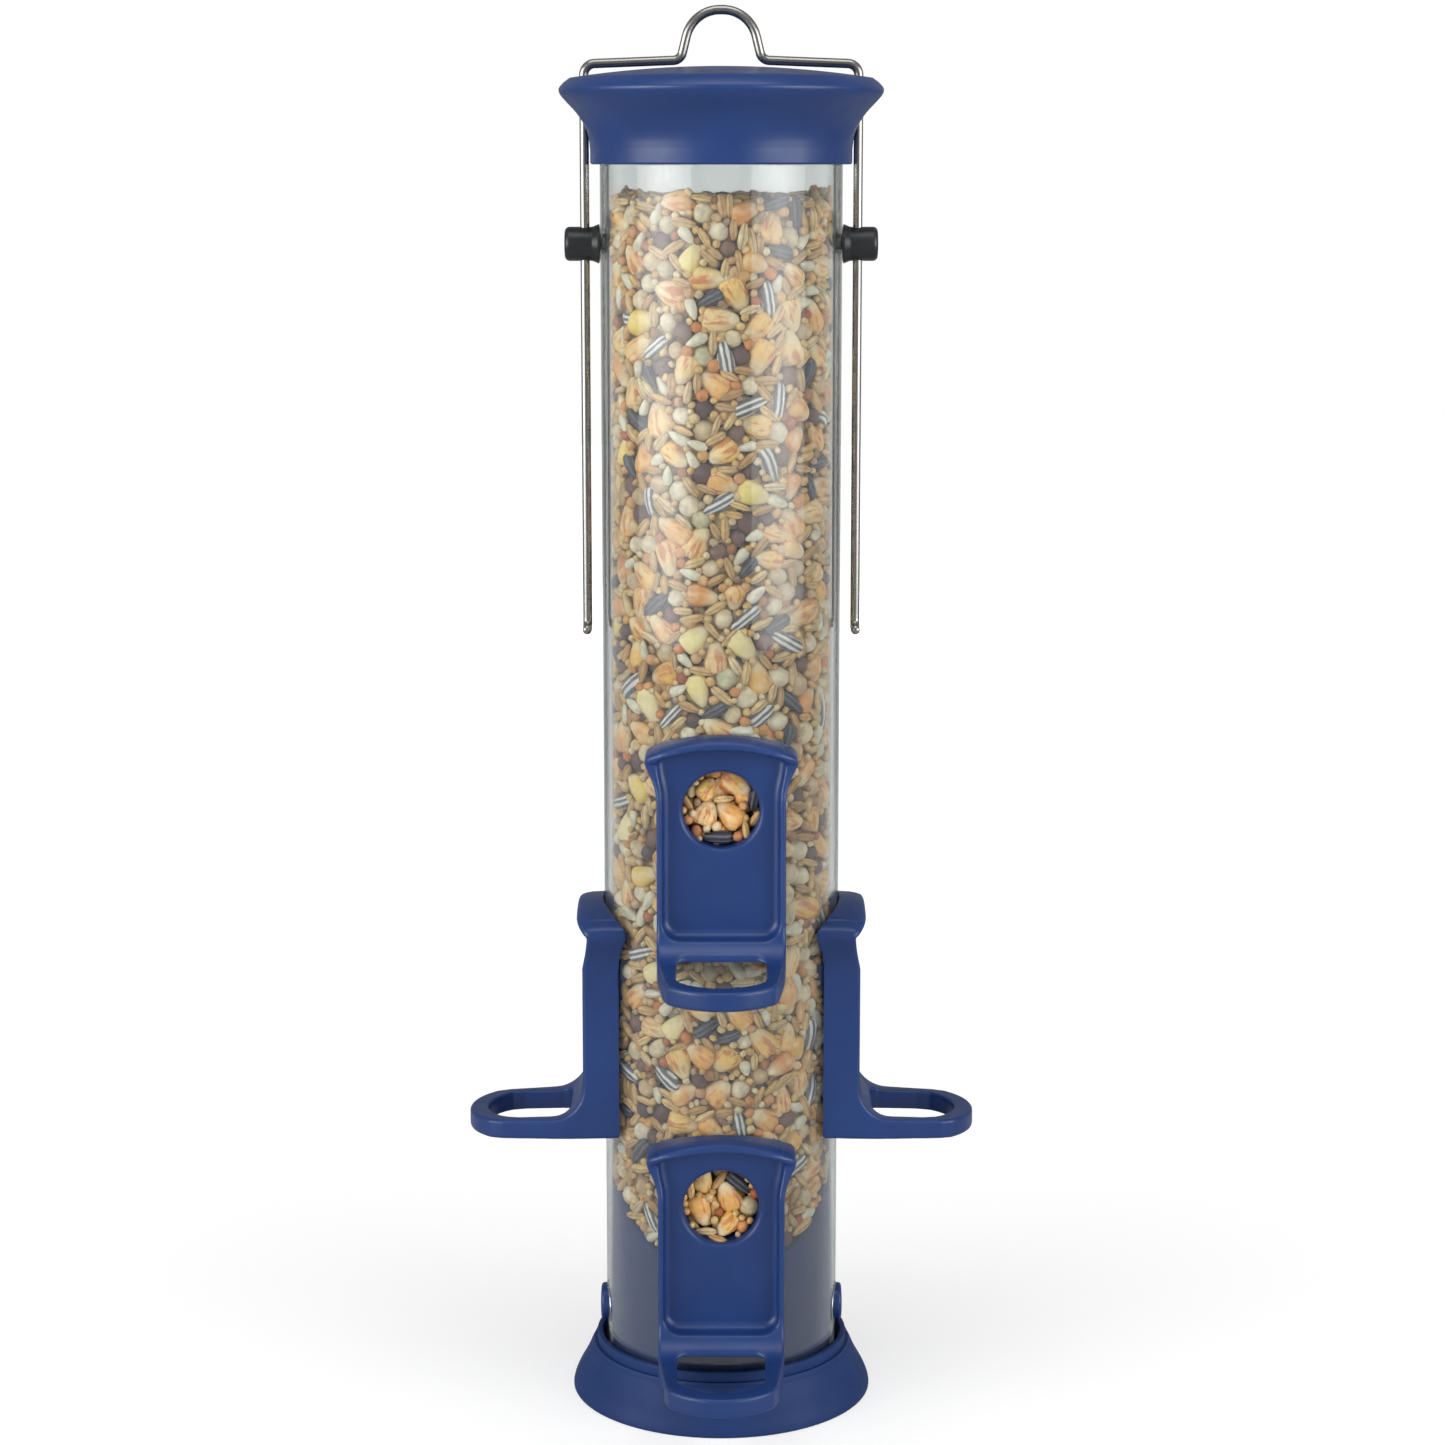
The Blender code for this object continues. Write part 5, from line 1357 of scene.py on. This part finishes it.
def lay_in_window(turn, height, counts, depth, tilt):
    """Seed in a port's hole, on a slope that leans back upwards."""
    def centre_of(across, up):
        """The slope's place behind the window, with a little random depth."""
        lean = WINDOW_LEAN * (up + WINDOW_RADIUS)
        out = TUBE_OUTER - WINDOW_DEPTH - depth - lean - WINDOW_DEPTH * dice.random(len(up))
        return facing(np.stack([across, out, up], axis=1), turn) + (0, 0, height)

    ways = facing([0.0, 1.0, 0.0], turn), facing([1.0, 0.0, 0.0], turn)
    lay_patch(WINDOW_RADIUS, counts, centre_of, *ways, tilt, wall=False)


def lay_flat(height_of, sign):
    """Seed on a level or sloping patch across the tube. sign is 1 for a top face and -1 for an underside."""
    ways = [0.0, 0.0, float(sign)], [1.0, 0.0, 0.0]
    lay_patch(SEED_WALL - 2, PATCH_COUNTS, lambda x, y: np.stack([x, y, height_of(y)], axis=1), *ways, 12)


for row, side in PORTS:
    lay_in_window(PORT_TURNS[side], HOLE_HEIGHTS[row], WINDOW_COUNTS, depth=0.0, tilt=14)
    lay_in_window(PORT_TURNS[side], HOLE_HEIGHTS[row], WINDOW_BACK_COUNTS, depth=2.8, tilt=20)
lay_flat(lambda y: HEAP_TOP - 1 - HEAP_FALL * np.maximum(y / SEED_WALL, 0), 1)
lay_flat(lambda y: roof_height(y) + ROOF_GAP, -1)

# %% [markdown]
# ### The heart of the heap
# Behind the two layers, a dark brown heart stops the eye. Its dark browns are painted shade, standing for
# seed deep in the heap that little light reaches. It is a turned drum whose ends follow the heap's top and
# the deflector's roof.

# %% Heart
HEART_RADIUS = SEED_WALL - 5.6
HEART_DROP = 8
HEART_RISE = 3.5
HEART_RINGS = 12
HEART_STEPS = 96


def heart_mesh():
    """A drum: rings at shares of the radius on its lower and upper face, joined down its side."""
    share = np.concatenate([np.linspace(0, 1, HEART_RINGS), np.linspace(1, 0, HEART_RINGS)])
    angle = 2 * math.pi * np.arange(HEART_STEPS) / HEART_STEPS
    x = HEART_RADIUS * share[:, None] * np.cos(angle)
    y = HEART_RADIUS * share[:, None] * np.sin(angle)
    upper = np.arange(len(share))[:, None] >= HEART_RINGS
    z = np.where(upper, HEAP_TOP - HEART_DROP + 0 * x, roof_height(y) + HEART_RISE)
    points = np.stack([x, y, z], axis=-1).reshape(-1, 3)
    return closed(make_mesh("heap_heart_painted_shade", points, grid_faces(len(share), HEART_STEPS)))


def heart_shade_finish():
    """Painted shade of seed deep in the heap: dark brown cells of several tones, darker towards their edges.
    """
    material, tree, shader = start_finish("seed_shade", Roughness=0.9)
    cells = add(tree, "ShaderNodeTexVoronoi", {"Vector": own_place(tree), "Scale": 240.0})
    tone = add(tree, "ShaderNodeSeparateColor", {"Color": cells.outputs["Color"]}).outputs[0]
    # Painted shade between seeds: each cell is darker towards its edges.
    edge = between(tree, cells.outputs["Distance"], 1.0, 0.25, 0.1, 0.7)
    # The heart's browns are painted shade, far darker than the lit seeds.
    shade_browns = [(0.0, (0.10, 0.062, 0.034)), (0.6, (0.22, 0.145, 0.080)), (1.0, (0.34, 0.25, 0.15))]
    feed(shader, Base_Color=mixed(tree, 1.0, ramp(tree, tone, shade_browns), edge, "MULTIPLY"))
    return material


show(heart_mesh(), "feeder", heart_shade_finish())

# %% [markdown]
# ## Seed finishes
# Each seed carries a random tone, and each of its points knows where it lies on the seed. The finishes read
# both: maize pales towards its tip and reddens on its flanks, sunflower husks are striped lengthwise, and
# oats have a dark line painted along their crease as its shade.

# %% Seed finishes
CREAM = (0.80, 0.68, 0.44)
STRIPE_WAVES = 9.5


def start_seed(name, roughness):
    """A seed finish with its shader, the tone of each seed, its place socket and the place's three parts."""
    material, tree, shader = start_finish("seed_" + name, Roughness=roughness)
    tone = add(tree, "ShaderNodeAttribute", attribute_name="seed_tone").outputs["Fac"]
    place = add(tree, "ShaderNodeAttribute", attribute_name="seed_place").outputs["Vector"]
    parts = add(tree, "ShaderNodeSeparateXYZ", {"Vector": place}).outputs
    return material, tree, shader, tone, place, parts


def seed_noise(tree, place, tone, scale):
    """Noise on the seed's own coordinates, stretched by a scale, and different for each tone."""
    inputs = {
        "Vector": stretched(tree, place, scale), "W": between(tree, tone, 0.0, 60.0), "Scale": 1.0,
        "Detail": 2.0}
    return add(tree, "ShaderNodeTexNoise", inputs, noise_dimensions="4D").outputs["Fac"]


def finish_seed(tree, shader, colour, speckle=0.18):
    """Mottle the colour a little and give the skin a fine unevenness."""
    mottle = between(tree, noise(tree, 700.0, detail=4.0), 1 - speckle, 1 + speckle, 0.3, 0.7)
    feed(shader, Base_Color=mixed(tree, 1.0, colour, mottle, "MULTIPLY"))
    relief(tree, shader, noise(tree, 900.0), 0.3, 0.0002)


def maize_finish():
    """A body tone, a pale tip, pale patches, and on some grains red streaks that run along them."""
    material, tree, shader, tone, place, parts = start_seed("maize", 0.34)
    body = ramp(tree, tone, [
        (0.0, (0.82, 0.46, 0.085)), (0.22, (0.88, 0.60, 0.19)), (0.42, (0.80, 0.42, 0.12)),
        (0.62, (0.86, 0.62, 0.29)), (0.80, (0.74, 0.33, 0.10)), (0.90, (0.88, 0.70, 0.16)),
        (1.0, (0.88, 0.77, 0.46))])
    pale = between(tree, seed_noise(tree, place, tone, (0.9, 1.1, 1.1)), 0.0, 0.75, 0.50, 0.72)
    colour = mixed(tree, pale, body, (0.86, 0.70, 0.44, 1.0))
    streaks = between(tree, seed_noise(tree, place, tone, (0.6, 2.6, 2.6)), 0.0, 0.80, 0.51, 0.60)
    some = between(tree, tone, 1.0, 0.0, 0.70, 0.85)
    share = maths(tree, "MULTIPLY", streaks, some)
    colour = mixed(tree, share, colour, (0.55, 0.15, 0.050, 1.0))
    tip = between(tree, parts[0], 0.0, 1.0, -0.05, -0.8)
    finish_seed(tree, shader, mixed(tree, tip, colour, (*CREAM, 1.0)), 0.10)
    return material


def striped_finish(name, dark, pale, share):
    """Stripes along the husk: a cosine across the seed, with the pale ones wider by a share."""
    material, tree, shader, tone, place, parts = start_seed(name, 0.55)
    wave = maths(tree, "MULTIPLY", parts[1], STRIPE_WAVES)
    shake = between(tree, seed_noise(tree, place, tone, (1.2, 2.0, 2.0)), -1.6, 1.6)
    wave = maths(tree, "COSINE", maths(tree, "ADD", wave, shake))
    stripe = between(tree, wave, 0.0, 1.0, share - 0.35, share + 0.35)
    finish_seed(tree, shader, mixed(tree, stripe, (*pale, 1.0), (*dark, 1.0)), 0.12)
    return material


def plain_finish(name, stops, roughness=0.5, speckle=0.14, crease_shade=0.0):
    """One tone for a seed from a ramp, and where the kind has a crease, its painted shade as a dark line."""
    material, tree, shader, tone, place, parts = start_seed(name, roughness)
    colour = ramp(tree, tone, stops)
    cloud = between(tree, seed_noise(tree, place, tone, (1.3, 1.3, 1.3)), 0.78, 1.15, 0.3, 0.7)
    colour = mixed(tree, 1.0, colour, cloud, "MULTIPLY")
    if crease_shade:
        # Painted shade of the crease: a dark line along the middle of the seed.
        side = maths(tree, "ABSOLUTE", parts[1])
        line = between(tree, side, crease_shade, 0.0, 0.04, 0.22)
        colour = mixed(tree, line, colour, (0.16, 0.075, 0.026, 1.0))
    finish_seed(tree, shader, colour, speckle)
    return material


SEED_FINISHES = {
    "maize": maize_finish(),
    "striped_sunflower": striped_finish("striped", (0.13, 0.135, 0.155), (0.74, 0.73, 0.69), -0.05),
    "black_sunflower": striped_finish("black", (0.030, 0.032, 0.045), (0.12, 0.125, 0.155), -0.4),
    "pea": plain_finish("pea", [
        (0.0, (0.72, 0.57, 0.36)), (0.4, (0.80, 0.71, 0.53)), (0.7, (0.60, 0.41, 0.22)),
        (1.0, (0.56, 0.54, 0.36))]),
    "vetch": plain_finish("vetch", [
        (0.0, (0.070, 0.034, 0.036)), (0.6, (0.15, 0.075, 0.070)), (1.0, (0.20, 0.105, 0.075))]),
    "safflower": plain_finish("safflower", [
        (0.0, (0.78, 0.74, 0.60)), (1.0, (0.70, 0.65, 0.48))], 0.38, 0.06),
    "oat": plain_finish("oat", [
        (0.0, (0.64, 0.39, 0.14)), (0.35, (0.74, 0.53, 0.25)), (0.7, (0.50, 0.28, 0.10)),
        (1.0, (0.80, 0.65, 0.38))], 0.55, 0.18, crease_shade=0.6),
    "millet": plain_finish("millet", [
        (0.0, (0.70, 0.46, 0.16)), (0.35, (0.60, 0.20, 0.045)), (0.55, (0.76, 0.62, 0.34)),
        (0.8, (0.42, 0.10, 0.035)), (1.0, (0.36, 0.20, 0.085))]),
    "small_millet": plain_finish("small_millet", [
        (0.0, (0.74, 0.54, 0.23)), (0.5, (0.60, 0.35, 0.11)), (0.8, (0.78, 0.66, 0.42)),
        (1.0, (0.24, 0.10, 0.05))]),
}

# %% [markdown]
# ### The seed as pieces
# Thousands of seeds as thousands of objects would be slow and hard to handle. So all the seeds of a kind
# become one mesh, and two attributes carry what tells them apart: a tone for each seed, and each point's
# place on its seed.

# %% Seed pieces
def seed_mesh(kind):
    """All the seeds of a kind in one mesh, with each seed's tone and each point's place on its seed."""
    template, quads, tips = seed_template(kind)
    points = np.concatenate(seed_parts[kind])
    count = len(points)
    start = (np.arange(count) * len(template))[:, None, None]
    faces = [(start + kind_faces).reshape(-1, kind_faces.shape[1]) for kind_faces in (quads, tips)]
    mesh = make_mesh("seed_" + kind, points.reshape(-1, 3), *faces)
    tone = mesh.attributes.new("seed_tone", "FLOAT", "POINT")
    tone.data.foreach_set("value", np.repeat(dice.random(count), len(template)).astype(np.float32))
    place = mesh.attributes.new("seed_place", "FLOAT_VECTOR", "POINT")
    place.data.foreach_set("vector", np.tile(template, (count, 1)).astype(np.float32).ravel())
    return mesh


for kind in SEED_KINDS:
    show(seed_mesh(kind), "feeder", SEED_FINISHES[kind], smooth_to=math.radians(80))

# %% [markdown]
# ## Floor, background and lamps
# A pale floor runs out to a white distance. The world is white to the eye, also through glass, but as a
# lamp and in mirrors it is a light grey. Two broad soft lamps from the sides shape the round parts. Their
# beams are narrowed like those of softboxes with a grid and point at the cap. One from above lights the
# sills. Two weak fills, in front and behind, keep out of the mirror reflections, so the plastic isn't
# dulled in the middle, and the one behind can't be seen through the tube.

# %% Stage
FLOOR_SIZE = 6.0
WORLD_STRENGTH = 0.26
MIRRORED_STRENGTH = 0.30
NEAR_GLOW = 0.55
FAR_GLOW = 1.0
GLOW_RANGE = (0.1, 1.3)


def white_to_the_eye(tree):
    """1 for the eye, straight or through glass, and 0 for light that falls on things or is mirrored.

    A ray that has met a dull surface before the glass isn't the eye's: it gathers light for that surface.
    """
    rays = add(tree, "ShaderNodeLightPath").outputs
    seen = maths(tree, "MAXIMUM", rays["Is Camera Ray"], rays["Is Transmission Ray"])
    return maths(tree, "MULTIPLY", seen, maths(tree, "LESS_THAN", rays["Diffuse Depth"], 0.5))


def make_floor():
    """A large floor that shows white. Near the object it glows less, so that its shadow shows."""
    half = FLOOR_SIZE / 2 / METRES
    corners = [(-half, -half, 0), (half, -half, 0), (half, half, 0), (-half, half, 0)]
    mesh = make_mesh("floor", corners, np.array([[0, 1, 2, 3]]))
    material, tree, shader = start_finish(
        "floor", Roughness=0.9, Base_Color=(0.62, 0.62, 0.62, 1.0), Specular_IOR_Level=0.1)
    distance = add(tree, "ShaderNodeVectorMath", {0: own_place(tree)}, operation="LENGTH").outputs["Value"]
    white = between(tree, distance, NEAR_GLOW, FAR_GLOW, *GLOW_RANGE)
    strength = maths(tree, "MULTIPLY", white, white_to_the_eye(tree))
    glow = add(tree, "ShaderNodeEmission", {"Color": (1, 1, 1, 1), "Strength": strength})
    both = add(tree, "ShaderNodeAddShader", {0: shader.outputs[0], 1: glow.outputs[0]})
    tree.links.new(both.outputs[0], tree.nodes["Material Output"].inputs["Surface"])
    mesh.materials.append(material)
    floor = new_object("floor", mesh)


def make_world():
    """A world that is white to the eye, and greyer as a lamp and in mirrors."""
    world = bpy.data.worlds.new("studio")
    world.use_nodes = True
    tree = world.node_tree
    shader = tree.nodes["Background"]
    shader.inputs["Color"].default_value = (1.0, 1.0, 1.0, 1.0)
    mirrored = add(tree, "ShaderNodeLightPath").outputs["Is Glossy Ray"]
    unseen = between(tree, mirrored, WORLD_STRENGTH, MIRRORED_STRENGTH)
    feed(shader, Strength=maths(tree, "MAXIMUM", unseen, white_to_the_eye(tree)))
    bpy.context.scene.world = world


def make_lamp(name, place, target, size, power, spread=180):
    """A soft lamp that looks at a target, with its beam narrowed to a spread in degrees."""
    lamp = new_object(name, bpy.data.lights.new(name, "AREA"))
    lamp.data.shape = "RECTANGLE"
    lamp.data.size, lamp.data.size_y = size
    lamp.data.energy = power
    lamp.data.spread = math.radians(spread)
    lamp.location = place
    way = np.array(target) - np.array(place)
    down = math.atan2(np.hypot(way[0], way[1]), -way[2])
    lamp.rotation_euler = (down, 0, math.atan2(way[1], way[0]) - math.pi / 2)
    return lamp


MIDDLE = (0.0, 0.0, 0.19)
UPPER = (0.0, 0.0, 0.34)
GRID_SPREAD = 75
LAMPS = [
    ("left_softbox", (-1.0, -0.65, 0.46), UPPER, (1.3, 0.8), 3.4, GRID_SPREAD),
    ("right_softbox", (1.0, -0.65, 0.46), UPPER, (1.3, 0.8), 3.0, GRID_SPREAD),
    ("top_softbox", (0.0, -0.38, 1.20), MIDDLE, (0.9, 0.6), 3.6),
    ("front_fill", (0.0, -1.7, 0.28), MIDDLE, (1.2, 0.5), 3.6),
    ("back_fill", (0.0, 1.7, 0.35), MIDDLE, (1.2, 0.5), 2.0)]

make_floor()
make_world()
lamps = {facts[0]: make_lamp(*facts) for facts in LAMPS}
lamps["front_fill"].visible_glossy = False
lamps["back_fill"].visible_glossy = False
lamps["back_fill"].visible_camera = False
lamps["back_fill"].visible_transmission = False
print("lamps", *lamps)
bpy.context.scene.view_settings.view_transform = "Standard"
